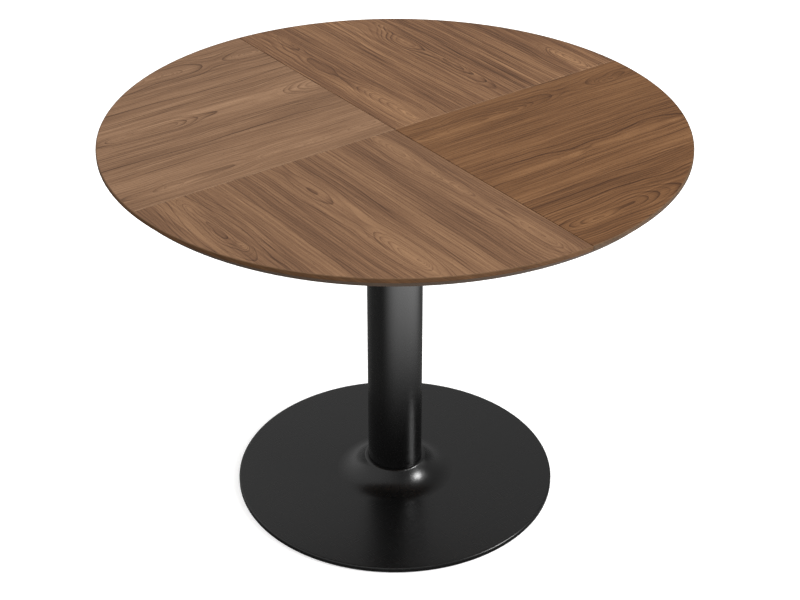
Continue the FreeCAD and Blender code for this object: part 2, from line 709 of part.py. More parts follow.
def rack_shape():
    """A straight rack for the left half. A tooth space is centred on X = 0 to take the pinion's
    tooth, and the teeth point to -Y."""
    module = S.gear_module.value
    step = math.pi * module
    pitch = PITCH_RADIUS.value
    tip, root = pitch - module, pitch + DEDENDUM * module
    back = pitch + S.rack_back.value
    slope = math.tan(PRESSURE_ANGLE)
    half_gap = (step / 2 + S.backlash.value / 2) / 2
    spaces = math.ceil(S.travel.value / step) + SPARE_TEETH
    low = RACK_BOTTOM.value

    def spot(x, y):
        return FreeCAD.Vector(x, y, low)

    points = [spot(-S.rack_start.value, back), spot(-S.rack_start.value, tip)]
    for number in range(-2, spaces):
        middle = number * step
        wide = half_gap + module * slope
        narrow = half_gap - DEDENDUM * module * slope
        points += [
            spot(middle - wide, tip),
            spot(middle - narrow, root),
            spot(middle + narrow, root),
            spot(middle + wide, tip),
        ]
    end = spaces * step
    points += [spot(end, tip), spot(end, back)]
    face = Part.Face(Part.makePolygon(points + points[:1]))
    bar = face.extrude(FreeCAD.Vector(0, 0, S.rack_face.value))
    for x, y in RACK_SCREW_PLACES:
        hole = Part.makeCylinder(
            (S.small_screw + S.screw_fit).value, S.rack_face.value + 2 * OVERRUN,
            FreeCAD.Vector(x.value, y.value, low - OVERRUN),
        )
        bar = bar.cut(hole)
    return bar


RACK_NEAR = PITCH_RADIUS + DEDENDUM * S.gear_module
RACK_FAR = PITCH_RADIUS + S.rack_back
RACK_SCREW_PLACES = [
    (S.rack_screw_inset - S.rack_start + step * S.rack_screw_step, (RACK_NEAR + RACK_FAR) / 2)
    for step in (0, 1)
]


def make_gear_channel():
    """A steel channel that carries the pinion and backs both racks, on four standoffs."""
    inner = PITCH_RADIUS + S.rack_back + S.channel_fit
    outer = inner + S.channel_wall
    low = CHANNEL_FLOOR - S.channel_wall
    high = low + S.channel_side
    corners = [
        (-outer, low),
        (outer, low),
        (outer, high),
        (inner, high),
        (inner, CHANNEL_FLOOR),
        (-inner, CHANNEL_FLOOR),
        (-inner, high),
        (-outer, high),
    ]
    body = padded(corners, -S.channel_half, 2 * S.channel_half, "YZ_Plane")
    start = low - OVERRUN
    holes = drills(STANDOFFS, start, CHANNEL_FLOOR + OVERRUN, S.wood_screw)
    holes.append(rod(S.axle_radius + S.screw_fit, S.channel_wall + 2 * OVERRUN, z=start))
    node("gear_channel", cut(body, *holes))
    hole = S.wood_screw + S.screw_fit
    sleeves = [
        tube(S.standoff_radius, hole, S.standoff, x, y, RAIL_BOTTOM) for x, y in STANDOFFS
    ]
    node("channel_standoffs", group(*sleeves))
    length = S.standoff + S.channel_wall + S.spider
    head = S.wood_screw * HEAD_SHARE
    screws = [
        screw(x, y, CHANNEL_FLOOR, length, S.wood_screw, head, upwards=False)
        for x, y in STANDOFFS
    ]
    node("channel_screws", group(*screws))


def make_axle():
    """The pinion's axle, with a collar under the pinion and a clip in a groove over it."""
    low = CHANNEL_FLOOR - S.channel_wall - OVERRUN
    clip_low = GEAR_TOP + S.axial_play
    groove_radius = S.axle_radius - S.clip_groove
    outer = S.axle_radius + S.collar_width
    pin = rod(S.axle_radius, GEAR_TOP + S.axle_end - low, z=low)
    collar = rod(outer, S.collar, z=CHANNEL_FLOOR)
    ring = tube(outer, groove_radius, S.clip + 2 * S.clip_fit, z=clip_low - S.clip_fit)
    node("pinion_axle", cut(fuse(pin, collar), ring))
    clip = tube(outer, groove_radius + S.clip_fit, S.clip, z=clip_low)
    gape = S.axle_radius * 1.2
    mouth = box(0, -gape / 2, clip_low - OVERRUN, outer + OVERRUN, gape, S.clip + 2 * OVERRUN)
    node("axle_clip", cut(clip, mouth))


# ---------------------------------------------------------------- the halves of the top
def split_slot():
    """What parts the two closed halves."""
    reach = S.top_radius + OVERRUN
    low = UNDERSIDE - OVERRUN
    height = S.table_height - low + OVERRUN
    return box(-S.split_gap / 2, -reach, low, S.split_gap, 2 * reach, height)


def runner_lines():
    """The left half's two runners: outside the back rail and inside the front rail."""
    return (S.slide_line + RUNNER_MIDDLE, -S.slide_line + RUNNER_MIDDLE)


def runner_screw_places():
    """Where a runner's screws stand along it, evenly from its outer end to the split."""
    first = S.screw_inset - RUNNER_BACK
    step = (RUNNER_BACK - 2 * S.screw_inset) / (RUNNER_SCREWS - 1)
    return [first + number * step for number in range(RUNNER_SCREWS)]


def lock_screw_places(keeper):
    """Where the screws of the locks' plates, or of their keepers, stand on the left half."""
    if keeper:
        columns = [-(S.lock_post + S.keeper_screw)]
    else:
        columns = [-(S.lock_pivot + side * S.lock_screw) for side in (-1, 1)]
    rows = [
        line * LOCK_LINE + side * S.lock_screw_side for line in (-1, 1) for side in (-1, 1)
    ]
    return [(x, y) for x in columns for y in rows]


def top_drills(keeper):
    """Holes that all the screws of one half leave in its backing and core."""
    low = UNDERSIDE - OVERRUN
    runner_high = RUNNER_BOTTOM + S.recess + S.runner_screw + OVERRUN
    places = [(x, y) for y in runner_lines() for x in runner_screw_places()]
    holes = drills(places, low, runner_high, S.wood_screw)
    places = RACK_SCREW_PLACES + lock_screw_places(keeper)
    return holes + drills(places, low, UNDERSIDE + S.short_screw, S.small_screw)


def bevel_height(radius):
    """Height of the underside's bevel at a radius."""
    drop = BEVEL_RISE * (S.top_radius - radius) / S.bevel_width
    return S.table_height - S.rim - drop


def dowel_lines():
    """How far the dowels stand from the column's axis, on both sides of it."""
    outer = S.top_radius - S.dowel_inset
    return [side * line for side in (-1, 1) for line in (outer, outer - S.dowel_step, S.dowel_inner)]


def dowel_holes(radius, depth):
    start = -S.split_gap / 2 - depth
    return [
        rod(radius, depth + OVERRUN, start, y, CORE_MIDDLE, along_x=True) for y in dowel_lines()
    ]


def make_panel(side, angle, sockets):
    """A half's core, backing sheet and edge band. The dowels' holes are larger where sockets line
    them."""
    backing_edge = S.top_radius - S.bevel_width + S.bevel_width * S.backing / BEVEL_RISE
    core = revolved(
        [
            (0, CORE_BOTTOM),
            (backing_edge, CORE_BOTTOM),
            (CAP_RADIUS, bevel_height(CAP_RADIUS)),
            (CAP_RADIUS, CORE_TOP),
            (0, CORE_TOP),
        ],
        180,
    )
    hole_radius = S.dowel_radius + S.rod_fit / 2
    depth = S.dowel_reach * 2
    if sockets:
        hole_radius += S.socket_wall + S.dowel_fit
        depth = SOCKET_DEPTH + OVERRUN
    holes = top_drills(sockets) + dowel_holes(hole_radius, depth)
    node(f"{side}_core", cut(core, split_slot(), *holes), angle)
    sheet_edge = S.top_radius - S.bevel_width
    backing = revolved(
        [(0, UNDERSIDE), (sheet_edge, UNDERSIDE), (backing_edge, CORE_BOTTOM), (0, CORE_BOTTOM)],
        180,
    )
    node(f"{side}_backing", cut(backing, split_slot(), *top_drills(sockets)), angle)
    band = revolved(
        [
            (CAP_RADIUS, bevel_height(CAP_RADIUS)),
            (S.top_radius, S.table_height - S.rim),
            (S.top_radius, S.table_height - S.arris, S.arris, 1),
            (S.top_radius - S.arris, S.table_height),
            (CAP_RADIUS, S.table_height),
        ],
        180,
    )
    node(f"{side}_edge_band", cut(band, split_slot()), angle)


def make_veneer(name, side, angle):
    """A quarter of the face on the left half, at the back where side is 1. Its upper edges at the
    split and at the joint with the next quarter are bevelled."""
    body = doc.addObject("PartDesign::Body", "leaf")
    sketch = sketch_on(body, "XY_Plane", CORE_TOP)
    radius, gap = CAP_RADIUS, -S.split_gap / 2
    corner = FreeCAD.Vector(gap.value, 0, 0)
    top = FreeCAD.Vector(gap.value, side * math.sqrt(radius.value**2 - gap.value**2), 0)
    outer = FreeCAD.Vector(-radius.value, 0, 0)
    diagonal = radius.value / math.sqrt(2)
    middle = FreeCAD.Vector(-diagonal, side * diagonal, 0)
    sketch.addGeometry(Part.LineSegment(corner, top), False)
    sketch.addGeometry(Part.Arc(top, middle, outer), False)
    sketch.addGeometry(Part.LineSegment(outer, corner), False)
    first, last = (1, 2) if side > 0 else (2, 1)
    sketch.addConstraint(Sketcher.Constraint("Coincident", 0, 2, 1, first))
    sketch.addConstraint(Sketcher.Constraint("Coincident", 1, last, 2, 1))
    sketch.addConstraint(Sketcher.Constraint("Coincident", 2, 2, 0, 1))
    sketch.addConstraint(Sketcher.Constraint("Coincident", 1, 3, -1, 1))
    sketch.addConstraint(Sketcher.Constraint("Vertical", 0))
    sketch.addConstraint(Sketcher.Constraint("PointOnObject", 2, 1, -1))
    sketch.addConstraint(Sketcher.Constraint("PointOnObject", 0, 1, -1))
    hold(sketch, "Radius", "edge", radius, 1)
    hold(sketch, "DistanceX", "gap", gap, -1, 1, 0, 1)
    pad = body.newObject("PartDesign::Pad", "pad")
    pad.Profile = sketch
    tie(pad, Length=S.veneer)
    doc.recompute()
    face = S.table_height.value

    def upper_straight(edge):
        high = edge.BoundBox.ZMin > face - 0.01
        return high and min(edge.BoundBox.XLength, edge.BoundBox.YLength) < 0.01

    bevel = body.newObject("PartDesign::Chamfer", "joint_bevel")
    bevel.Base = (pad, edges_where(pad.Shape, upper_straight))
    tie(bevel, Size=S.groove)
    body.Tip = bevel
    node(name, body, angle)


def make_runners(side, angle):
    """A half's two runners. Each has a tail that passes under the other half, and a tongue that
    slides in the fixed rail's groove. The outer one carries the stop pin."""
    back, tail = RUNNER_BACK, S.runner_tail
    high = UNDERSIDE - S.tail_relief
    names = (f"{side}_outer_runner", f"{side}_inner_runner")
    tongue_height = S.tongue - 2 * S.slide_play
    head_seat = RUNNER_BOTTOM + S.recess
    head = S.wood_screw * HEAD_SHARE
    pin_place = tail - S.stop_inset
    screws = []
    for name, line in zip(names, runner_lines()):
        low_y = line - S.runner_width / 2
        bar = box(-back, low_y, RUNNER_BOTTOM, back + tail, S.runner_width, high - RUNNER_BOTTOM)
        raised = back - S.split_gap / 2 - S.seat_inset
        seat_low = high - OVERRUN
        seat = box(-back, low_y, seat_low, raised, S.runner_width, UNDERSIDE - seat_low)
        tongue = box(
            -back, low_y - S.tongue_depth, TONGUE_MIDDLE - tongue_height / 2,
            back + tail, S.tongue_depth + OVERRUN, tongue_height,
        )
        holes = []
        start = RUNNER_BOTTOM - OVERRUN
        for x in runner_screw_places():
            holes.append(drill(x, line, start, UNDERSIDE + OVERRUN, S.wood_screw))
            holes.append(rod(head + S.screw_fit, head_seat - start, x, line, start))
            screws.append(screw(x, line, head_seat, S.runner_screw, S.wood_screw, head))
        if name == names[0]:
            pin_hole = S.stop_radius + S.screw_fit / 2
            holes.append(rod(pin_hole, S.stop_depth + OVERRUN, pin_place, line, start))
        node(name, cut(fuse(bar, seat, tongue), *holes), angle)
    node(f"{side}_runner_screws", group(*screws), angle)
    pin_low = RAIL_BOTTOM - S.stop_drop
    length = RUNNER_BOTTOM + S.stop_depth - pin_low
    pin = rod(S.stop_radius, length, pin_place, runner_lines()[0], pin_low)
    node(f"{side}_stop_pin", group(pin), angle)


def make_rack(side, angle):
    """A half's rack, the block that hangs it from the underside, and its screws."""
    rack = doc.addObject("Part::Feature", "rack")
    rack.Shape = rack_shape()
    rack.Placement = FreeCAD.Placement()
    node(f"{side}_rack", rack, angle)
    width, height = RACK_FAR - RACK_NEAR, UNDERSIDE - RACK_TOP
    block = box(-S.rack_start, RACK_NEAR, RACK_TOP, S.rack_block, width, height)
    low, high = RACK_TOP - OVERRUN, UNDERSIDE + OVERRUN
    holes = drills(RACK_SCREW_PLACES, low, high, S.small_screw)
    node(f"{side}_rack_block", cut(block, *holes), angle)
    length = UNDERSIDE - RACK_BOTTOM + S.short_screw - OVERRUN
    screws = [
        screw(x, y, RACK_BOTTOM, length, S.small_screw, S.small_screw * HEAD_SHARE)
        for x, y in RACK_SCREW_PLACES
    ]
    node(f"{side}_rack_screws", group(*screws), angle)


def make_dowels():
    """Dowels in the left half's edge, and the sockets in the right half's edge that take them."""
    start = -S.split_gap / 2 - (S.dowel_reach * 2 - OVERRUN)
    tip_start = S.dowel_reach - S.dowel_nose
    inner = S.dowel_radius + S.dowel_fit
    end = -S.split_gap / 2 - SOCKET_DEPTH
    dowels = []
    sockets = []
    for y in dowel_lines():
        shank = rod(S.dowel_radius, tip_start - start, start, y, CORE_MIDDLE, along_x=True)
        narrow = S.dowel_radius - S.dowel_nose / 2
        tip = cone(
            S.dowel_radius, narrow, S.dowel_nose, tip_start, y, CORE_MIDDLE, along_x=True
        )
        dowels.append(fuse(shank, tip))
        sleeve = rod(inner + S.socket_wall, SOCKET_DEPTH, end, y, CORE_MIDDLE, along_x=True)
        bore = rod(inner, SOCKET_DEPTH, end + S.socket_wall, y, CORE_MIDDLE, along_x=True)
        sockets.append(cut(sleeve, bore))
    node("alignment_dowels", group(*dowels))
    node("dowel_sockets", group(*sockets), 180)


# ---------------------------------------------------------------- the table locks
def lever_shape():
    """A lock lever about its own pivot, as it points when locked: a slot in its hook, round the
    pivot, lies over the post and is open at one end."""
    thickness = S.lever
    through = thickness + 2 * OVERRUN
    reach = S.post_radius + S.hook_fit
    slot_in, slot_out = HOOK_RADIUS - reach, HOOK_RADIUS + reach
    claw = cut(
        rod(slot_out + S.hook_wall, thickness, sweep=26, start=-12),
        rod(slot_in - S.hook_wall, through, z=-OVERRUN),
    )
    slot = cut(
        rod(slot_out, through, z=-OVERRUN, sweep=27, start=-21),
        rod(slot_in, through + 2 * OVERRUN, z=-2 * OVERRUN),
    )
    arm = box(0, 0, 0, slot_in - OVERRUN, S.lever_arm, thickness)
    hub = rod(S.lever_hub, thickness)
    handle = box(0, -S.handle_width / 2, 0, S.handle, S.handle_width, thickness)
    handle.Placement.Rotation = FreeCAD.Rotation(FreeCAD.Vector(0, 0, 1), HANDLE_ANGLE)
    turn = math.radians(HANDLE_ANGLE)
    grip = rod(
        S.grip_radius, thickness + S.grip_drop, S.handle * math.cos(turn),
        S.handle * math.sin(turn), -S.grip_drop,
    )
    bore = rod(S.pivot_radius + S.pivot_fit, through, z=-OVERRUN)
    return cut(fuse(cut(claw, slot), arm, hub, handle, grip), bore)


def lock_plate(start, length, line, low, places):
    """A flat plate of a lock, across its middle line, with its screws' holes."""
    plate = box(start, line - S.lock_width / 2, low, length, S.lock_width, S.lock_plate)
    return plate, drills(places, low - OVERRUN, UNDERSIDE + OVERRUN, S.small_screw)


def make_locks():
    """Two locks that draw the closed halves together. They are modelled let go."""
    low = UNDERSIDE - S.lock_plate
    boss_low = LEVER_TOP + S.pivot_play
    pin_low = LEVER_BOTTOM - S.pivot_play
    head = S.small_screw * HEAD_SHARE * 0.85
    pins = []
    screws = {"lock_plate_screws": [], "keeper_screws": []}
    for name, side in (("front", -1), ("back", 1)):
        line = side * LOCK_LINE
        places = [place for place in lock_screw_places(False) if place[1].value * side > 0]
        kept = [(-x, y) for x, y in lock_screw_places(True) if y.value * side > 0]
        start = -S.lock_pivot - S.lock_reach
        plate, holes = lock_plate(start, 2 * S.lock_reach, line, low, places)
        boss = rod(S.lock_boss, low - boss_low, -S.lock_pivot, line, boss_low)
        hole_low = boss_low - OVERRUN
        height = UNDERSIDE + OVERRUN - hole_low
        hole = rod(S.pivot_radius + S.screw_fit, height, -S.lock_pivot, line, hole_low)
        node(f"{name}_lock_plate", cut(fuse(plate, boss), hole, *holes))
        length = UNDERSIDE - S.pivot_play - pin_low
        shank = rod(S.pivot_radius, length, -S.lock_pivot, line, pin_low)
        head_low = pin_low - S.pivot_head
        cap = rod(2 * S.pivot_radius, S.pivot_head, -S.lock_pivot, line, head_low)
        pins.append(fuse(shank, cap))
        lever = lever_shape()
        at(lever, -S.lock_pivot, line, LEVER_BOTTOM)
        tie(lever, Placement__Rotation__Angle=S.lever_swing)
        node(f"{name}_lock_lever", lever)
        keeper, holes = lock_plate(S.keeper_start, S.keeper_length, line, low, kept)
        post_low = LEVER_BOTTOM - OVERRUN
        post = rod(S.post_radius, low - post_low, S.lock_post, line, post_low)
        node(f"{name}_lock_keeper", cut(fuse(keeper, post), *holes))
        for label, spots in (("lock_plate_screws", places), ("keeper_screws", kept)):
            screws[label] += [
                screw(x, y, low, S.short_screw, S.small_screw, head) for x, y in spots
            ]
    node("lock_pivots", group(*pins))
    for label, made in screws.items():
        node(label, group(*made))


# ---------------------------------------------------------------- the whole table
def make_half(side, angle, sockets, veneers):
    make_panel(side, angle, sockets)
    for name, quarter in veneers:
        make_veneer(name, quarter, angle)
    make_runners(side, angle)
    make_rack(side, angle)


make_base_cover()
make_base_plate()
make_floor_glides()
make_column()
make_top_plate()
make_fixed_rails()
make_tie_bars()
make_gear_channel()
make_axle()
make_pinion()
make_half("left", 0, False, (("left_veneer", 1), ("front_veneer", -1)))
make_half("right", 180, True, (("right_veneer", 1), ("back_veneer", -1)))
make_dowels()
make_locks()
doc.recompute()

faults = [item.Name for item in doc.Objects if {"Invalid", "Error"} & set(item.State)]
for piece in NODES:
    if piece.Shape.isNull() or not piece.Shape.isValid() or not piece.Shape.Solids:
        faults.append(piece.Label)
if faults:
    raise SystemExit(f"not built: {faults}")

os.makedirs("parts", exist_ok=True)
for piece in NODES:
    piece.Shape.exportStep(f"parts/{piece.Label}.step")
print(f"{len(NODES)} sub-parts written")
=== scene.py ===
import json
import math

import bmesh
import bpy
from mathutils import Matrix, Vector


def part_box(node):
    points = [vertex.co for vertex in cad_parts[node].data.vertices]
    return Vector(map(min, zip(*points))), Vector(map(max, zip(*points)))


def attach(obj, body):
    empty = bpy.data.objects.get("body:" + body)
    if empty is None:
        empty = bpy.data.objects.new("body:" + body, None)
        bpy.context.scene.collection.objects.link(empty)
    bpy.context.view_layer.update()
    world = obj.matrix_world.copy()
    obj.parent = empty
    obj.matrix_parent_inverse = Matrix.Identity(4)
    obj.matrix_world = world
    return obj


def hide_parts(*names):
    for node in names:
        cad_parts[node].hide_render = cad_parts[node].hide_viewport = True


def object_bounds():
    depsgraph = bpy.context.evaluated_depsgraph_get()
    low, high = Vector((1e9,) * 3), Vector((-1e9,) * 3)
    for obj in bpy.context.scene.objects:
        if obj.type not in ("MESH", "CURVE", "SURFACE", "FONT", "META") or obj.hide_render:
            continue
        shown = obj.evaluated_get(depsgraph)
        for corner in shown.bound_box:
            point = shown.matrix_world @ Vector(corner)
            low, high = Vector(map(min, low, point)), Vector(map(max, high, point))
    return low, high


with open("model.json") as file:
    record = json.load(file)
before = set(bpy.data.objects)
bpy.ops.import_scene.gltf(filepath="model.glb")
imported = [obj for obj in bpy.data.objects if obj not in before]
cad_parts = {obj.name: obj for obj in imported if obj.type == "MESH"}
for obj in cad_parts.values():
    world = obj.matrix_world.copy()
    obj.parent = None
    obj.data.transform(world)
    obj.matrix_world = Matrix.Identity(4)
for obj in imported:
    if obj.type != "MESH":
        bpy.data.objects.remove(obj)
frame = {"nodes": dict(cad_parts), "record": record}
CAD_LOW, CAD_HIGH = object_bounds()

# Looks of a round pedestal table. Lengths are in metres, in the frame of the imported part: +Z is up,
# the origin is on the floor under the column, and the halves of the top part along X.

NODES = frame["nodes"]
TOP = CAD_HIGH.z
TOP_RADIUS = CAD_HIGH.y
MM = 0.001


# ---------------------------------------------------------------- shader trees
class Tree:
    """Adds nodes to one shader tree. Each method gives back the socket that holds its result."""

    def __init__(self, tree):
        self.tree = tree

    def feed(self, socket, value):
        if isinstance(value, bpy.types.NodeSocket):
            self.tree.links.new(value, socket)
        else:
            socket.default_value = value

    def add(self, kind, inputs=None, **settings):
        made = self.tree.nodes.new(kind)
        for name, value in settings.items():
            setattr(made, name, value)
        for name, value in (inputs or {}).items():
            self.feed(made.inputs[name], value)
        return made

    def math(self, operation, *values):
        made = self.add("ShaderNodeMath", operation=operation)
        for socket, value in zip(made.inputs, values):
            self.feed(socket, value)
        return made.outputs[0]

    def scaled_sum(self, start, *terms):
        """start plus each (socket, factor) of terms."""
        total = start
        for socket, factor in terms:
            total = self.math("MULTIPLY_ADD", socket, factor, total)
        return total

    def vector(self, operation, *values):
        made = self.add("ShaderNodeVectorMath", operation=operation)
        for socket, value in zip(made.inputs, values):
            self.feed(socket, value)
        return made.outputs[0]

    def split(self, vector):
        return self.add("ShaderNodeSeparateXYZ", {"Vector": vector}).outputs

    def join(self, x, y, z):
        return self.add("ShaderNodeCombineXYZ", {"X": x, "Y": y, "Z": z}).outputs[0]

    def noise(self, vector, detail=2.0, roughness=0.5):
        made = self.add(
            "ShaderNodeTexNoise",
            {"Vector": vector, "Scale": 1.0, "Detail": detail, "Roughness": roughness},
        )
        return made.outputs["Fac"]

    def spread(self, value, low, high, to_low=0.0, to_high=1.0):
        """Takes low..high smoothly to to_low..to_high and stops at both ends."""
        made = self.add("ShaderNodeMapRange", interpolation_type="SMOOTHSTEP")
        for socket, amount in zip(made.inputs, (value, low, high, to_low, to_high)):
            self.feed(socket, amount)
        return made.outputs[0]

    def blend(self, share, first, second):
        """Mixes two colours: all first at share 0, all second at share 1."""
        made = self.add("ShaderNodeMix", data_type="RGBA", blend_type="MIX")
        self.feed(made.inputs["Factor"], share)
        self.feed(made.inputs[6], first)
        self.feed(made.inputs[7], second)
        return made.outputs[2]

    def ramp(self, value, stops):
        made = self.add("ShaderNodeValToRGB", {"Fac": value})
        marks = made.color_ramp.elements
        while len(marks) < len(stops):
            marks.new(0.5)
        for mark, (place, colour) in zip(marks, stops):
            mark.position = place
            mark.color = (*colour, 1.0)
        return made.outputs["Color"]

    def group(self, tree, **values):
        """Places a node group. A socket's name is written with _ for each space."""
        made = self.add("ShaderNodeGroup", node_tree=tree)
        for name, value in values.items():
            self.feed(made.inputs[name.replace("_", " ")], value)
        return made.outputs


def new_group(name, inputs, outputs):
    """A shader node group with named sockets. Gives the tree and the outputs of its input node."""
    made = bpy.data.node_groups.new(name, "ShaderNodeTree")
    for label, kind, default in inputs:
        socket = made.interface.new_socket(label, in_out="INPUT", socket_type=f"NodeSocket{kind}")
        if default is not None:
            socket.default_value = default
    for label, kind in outputs:
        made.interface.new_socket(label, in_out="OUTPUT", socket_type=f"NodeSocket{kind}")
    tree = Tree(made)
    return made, tree, tree.add("NodeGroupInput").outputs


def close_group(tree, **results):
    end = tree.add("NodeGroupOutput")
    for name, value in results.items():
        tree.feed(end.inputs[name.replace("_", " ")], value)


def rgb(red, green, blue):
    """A display colour, given in 0 to 255, as the shader's linear colour."""
    def linear(level):
        share = level / 255
        return share / 12.92 if share <= 0.04045 else ((share + 0.055) / 1.055) ** 2.4
    return tuple(linear(level) for level in (red, green, blue))


# ---------------------------------------------------------------- groups that finishes share
def make_leaf_layout():
    """Slip-matched leaves: says which leaf a point lies in and how far it is from that leaf's
    middle. The figure's middle line is First Line from the seam, and once a Leaf Width after it."""
    made, tree, given = new_group(
        "leaf layout",
        [("Across", "Float", 0.0), ("Leaf Width", "Float", 0.2), ("First Line", "Float", 0.05)],
        [("Leaf", "Float"), ("Local", "Float"), ("Joint", "Float")],
    )
    start = tree.math("SUBTRACT", given["Across"], given["First Line"])
    steps = tree.math("DIVIDE", start, given["Leaf Width"])
    leaf = tree.math("ROUND", steps)
    off = tree.math("SUBTRACT", steps, leaf)
    local = tree.math("MULTIPLY", off, given["Leaf Width"])
    joint = tree.spread(tree.math("ABSOLUTE", off), 0.497, 0.5)
    close_group(tree, Leaf=leaf, Local=local, Joint=joint)
    return made


def make_knot():
    """A place where the rings close round an eye of the figure: Lift is how far the rings are
    pushed out there."""
    made, tree, given = new_group(
        "knot",
        [("Along", "Float", 0.0), ("Across", "Float", 0.0), ("Along Place", "Float", 0.1),
         ("Across Place", "Float", 0.1), ("Length", "Float", 0.05), ("Width", "Float", 0.01),
         ("Rings", "Float", 3.0)],
        [("Lift", "Float")],
    )
    along = tree.math("SUBTRACT", given["Along"], given["Along Place"])
    across = tree.math("SUBTRACT", given["Across"], given["Across Place"])
    along = tree.math("DIVIDE", along, given["Length"])
    across = tree.math("DIVIDE", across, given["Width"])
    square = tree.math("MULTIPLY_ADD", along, along, tree.math("MULTIPLY", across, across))
    reach = tree.math("SQRT", square)
    fall = tree.math("EXPONENT", tree.math("MULTIPLY", square, -0.7))
    point = tree.math("EXPONENT", tree.math("MULTIPLY", reach, -1.3))
    both = tree.math("MULTIPLY", tree.math("ADD", fall, point), 0.5)
    lift = tree.math("MULTIPLY", both, given["Rings"])
    close_group(tree, Lift=lift)
    return made


def make_rings():
    """Growth rings where a flat knife cut them. Local is the distance from the figure's middle
    line, Depth is how far the pith lies below the cut, and Lift is what knots add."""
    made, tree, given = new_group(
        "growth rings",
        [("Along", "Float", 0.0), ("Local", "Float", 0.0), ("Leaf", "Float", 0.0),
         ("Depth", "Float", 0.03), ("Depth Change", "Float", 0.03), ("Ring Pitch", "Float", 0.0052),
         ("Wander", "Float", 0.006), ("Lift", "Float", 0.0), ("Seed", "Float", 0.0)],
        [("Line", "Float"), ("Ring Tone", "Float"), ("Wobble", "Float")],
    )
    shift = tree.math("MULTIPLY_ADD", given["Leaf"], 7.3, given["Seed"])
    slow = tree.noise(
        tree.join(
            tree.math("MULTIPLY", given["Along"], 7.0),
            tree.math("MULTIPLY", given["Local"], 16.0), shift,
        ), 2.0, 0.5,
    )
    quick = tree.noise(
        tree.join(
            tree.math("MULTIPLY", given["Along"], 34.0),
            tree.math("MULTIPLY", given["Local"], 60.0), shift,
        ), 2.0, 0.6,
    )
    wobble = tree.scaled_sum(-0.65, (slow, 1.0), (quick, 0.3))
    local = tree.math("MULTIPLY_ADD", wobble, given["Wander"], given["Local"])
    swell = tree.noise(
        tree.join(tree.math("MULTIPLY", given["Along"], 4.5), shift, 0.0), 1.5, 0.5
    )
    depth = tree.math(
        "MULTIPLY_ADD", tree.math("SUBTRACT", swell, 0.5),
        tree.math("MULTIPLY", given["Depth Change"], 3.0), given["Depth"],
    )
    square = tree.math("MULTIPLY_ADD", local, local, tree.math("MULTIPLY", depth, depth))
    radius = tree.math("DIVIDE", tree.math("SQRT", square), given["Ring Pitch"])
    rings = tree.math("SUBTRACT", radius, given["Lift"])
    uneven = tree.noise(tree.join(tree.math("MULTIPLY", rings, 0.31), shift, 4.0), 2.0, 0.6)
    rings = tree.math("MULTIPLY_ADD", uneven, 2.6, rings)
    phase = tree.math("FRACT", rings)
    sharp = tree.math("POWER", phase, 4.0)
    soften = tree.spread(phase, 0.93, 1.0, 1.0, 0.0)
    strength = tree.noise(tree.join(tree.math("FLOOR", rings), shift, 9.0), 0.0, 0.5)
    strength = tree.spread(strength, 0.32, 0.66, 0.15, 1.0)
    line = tree.math("MULTIPLY", tree.math("MULTIPLY", sharp, soften), strength)
    tone = tree.noise(tree.join(tree.math("MULTIPLY", rings, 0.5), shift, 2.0), 1.0, 0.5)
    close_group(tree, Line=line, Ring_Tone=tone, Wobble=wobble)
    return made


def make_fibres():
    """Streaks, fibres and pores that run along the grain."""
    made, tree, given = new_group(
        "grain fibres",
        [("Along", "Float", 0.0), ("Across", "Float", 0.0), ("Level", "Float", 0.0),
         ("Bend", "Float", 0.0), ("Pore Length", "Float", 0.009), ("Pore Width", "Float", 0.0006)],
        [("Band", "Float"), ("Streak", "Float"), ("Fibre", "Float"), ("Pore", "Float")],
    )
    across = tree.math("MULTIPLY_ADD", given["Bend"], 0.006, given["Across"])

    def stretched(along_scale, across_scale, detail, rough, shift=0.0):
        vector = tree.join(
            tree.math("MULTIPLY", given["Along"], along_scale),
            tree.math("MULTIPLY", across, across_scale),
            tree.math("ADD", given["Level"], shift),
        )
        return tree.noise(vector, detail, rough)

    band = stretched(1.3, 17.0, 2.0, 0.55)
    streak = stretched(3.4, 210.0, 3.0, 0.72, 3.0)
    fibre = stretched(8.0, 560.0, 3.0, 0.75, 5.0)
    cells = tree.add(
        "ShaderNodeTexVoronoi",
        {"Vector": tree.join(
            tree.math("DIVIDE", given["Along"], given["Pore Length"]),
            tree.math("DIVIDE", across, given["Pore Width"]),
            tree.math("MULTIPLY", given["Level"], 40.0)),
         "Scale": 1.0, "Randomness": 1.0},
        voronoi_dimensions="3D",
    )
    near = tree.spread(cells.outputs["Distance"], 0.16, 0.34, 1.0, 0.0)
    chosen = tree.split(cells.outputs["Color"])[0]
    pore = tree.math("MULTIPLY", near, tree.spread(chosen, 0.45, 0.6))
    close_group(tree, Band=band, Streak=streak, Fibre=fibre, Pore=pore)
    return made


def make_rub():
    """Faint scuffs and hand marks: a slow cloud, and short hairlines in two directions."""
    made, tree, given = new_group(
        "rub marks",
        [("Vector", "Vector", None), ("Cloud Size", "Float", 0.12),
         ("Hairline Size", "Float", 0.0009)],
        [("Cloud", "Float"), ("Hairline", "Float")],
    )
    near = tree.vector("DIVIDE", given["Vector"], tree.join(*[given["Cloud Size"]] * 3))
    cloud = tree.noise(near, 4.0, 0.6)
    thin = tree.vector("DIVIDE", given["Vector"], tree.join(*[given["Hairline Size"]] * 3))
    lines = []
    for stretch in ((0.02, 1.0, 0.3), (0.7, 0.03, 0.5)):
        streaks = tree.noise(tree.vector("MULTIPLY", thin, stretch), 1.0, 0.5)
        lines.append(tree.spread(streaks, 0.68, 0.8))
    hairline = tree.math("MAXIMUM", *lines)
    close_group(tree, Cloud=cloud, Hairline=hairline)
    return made


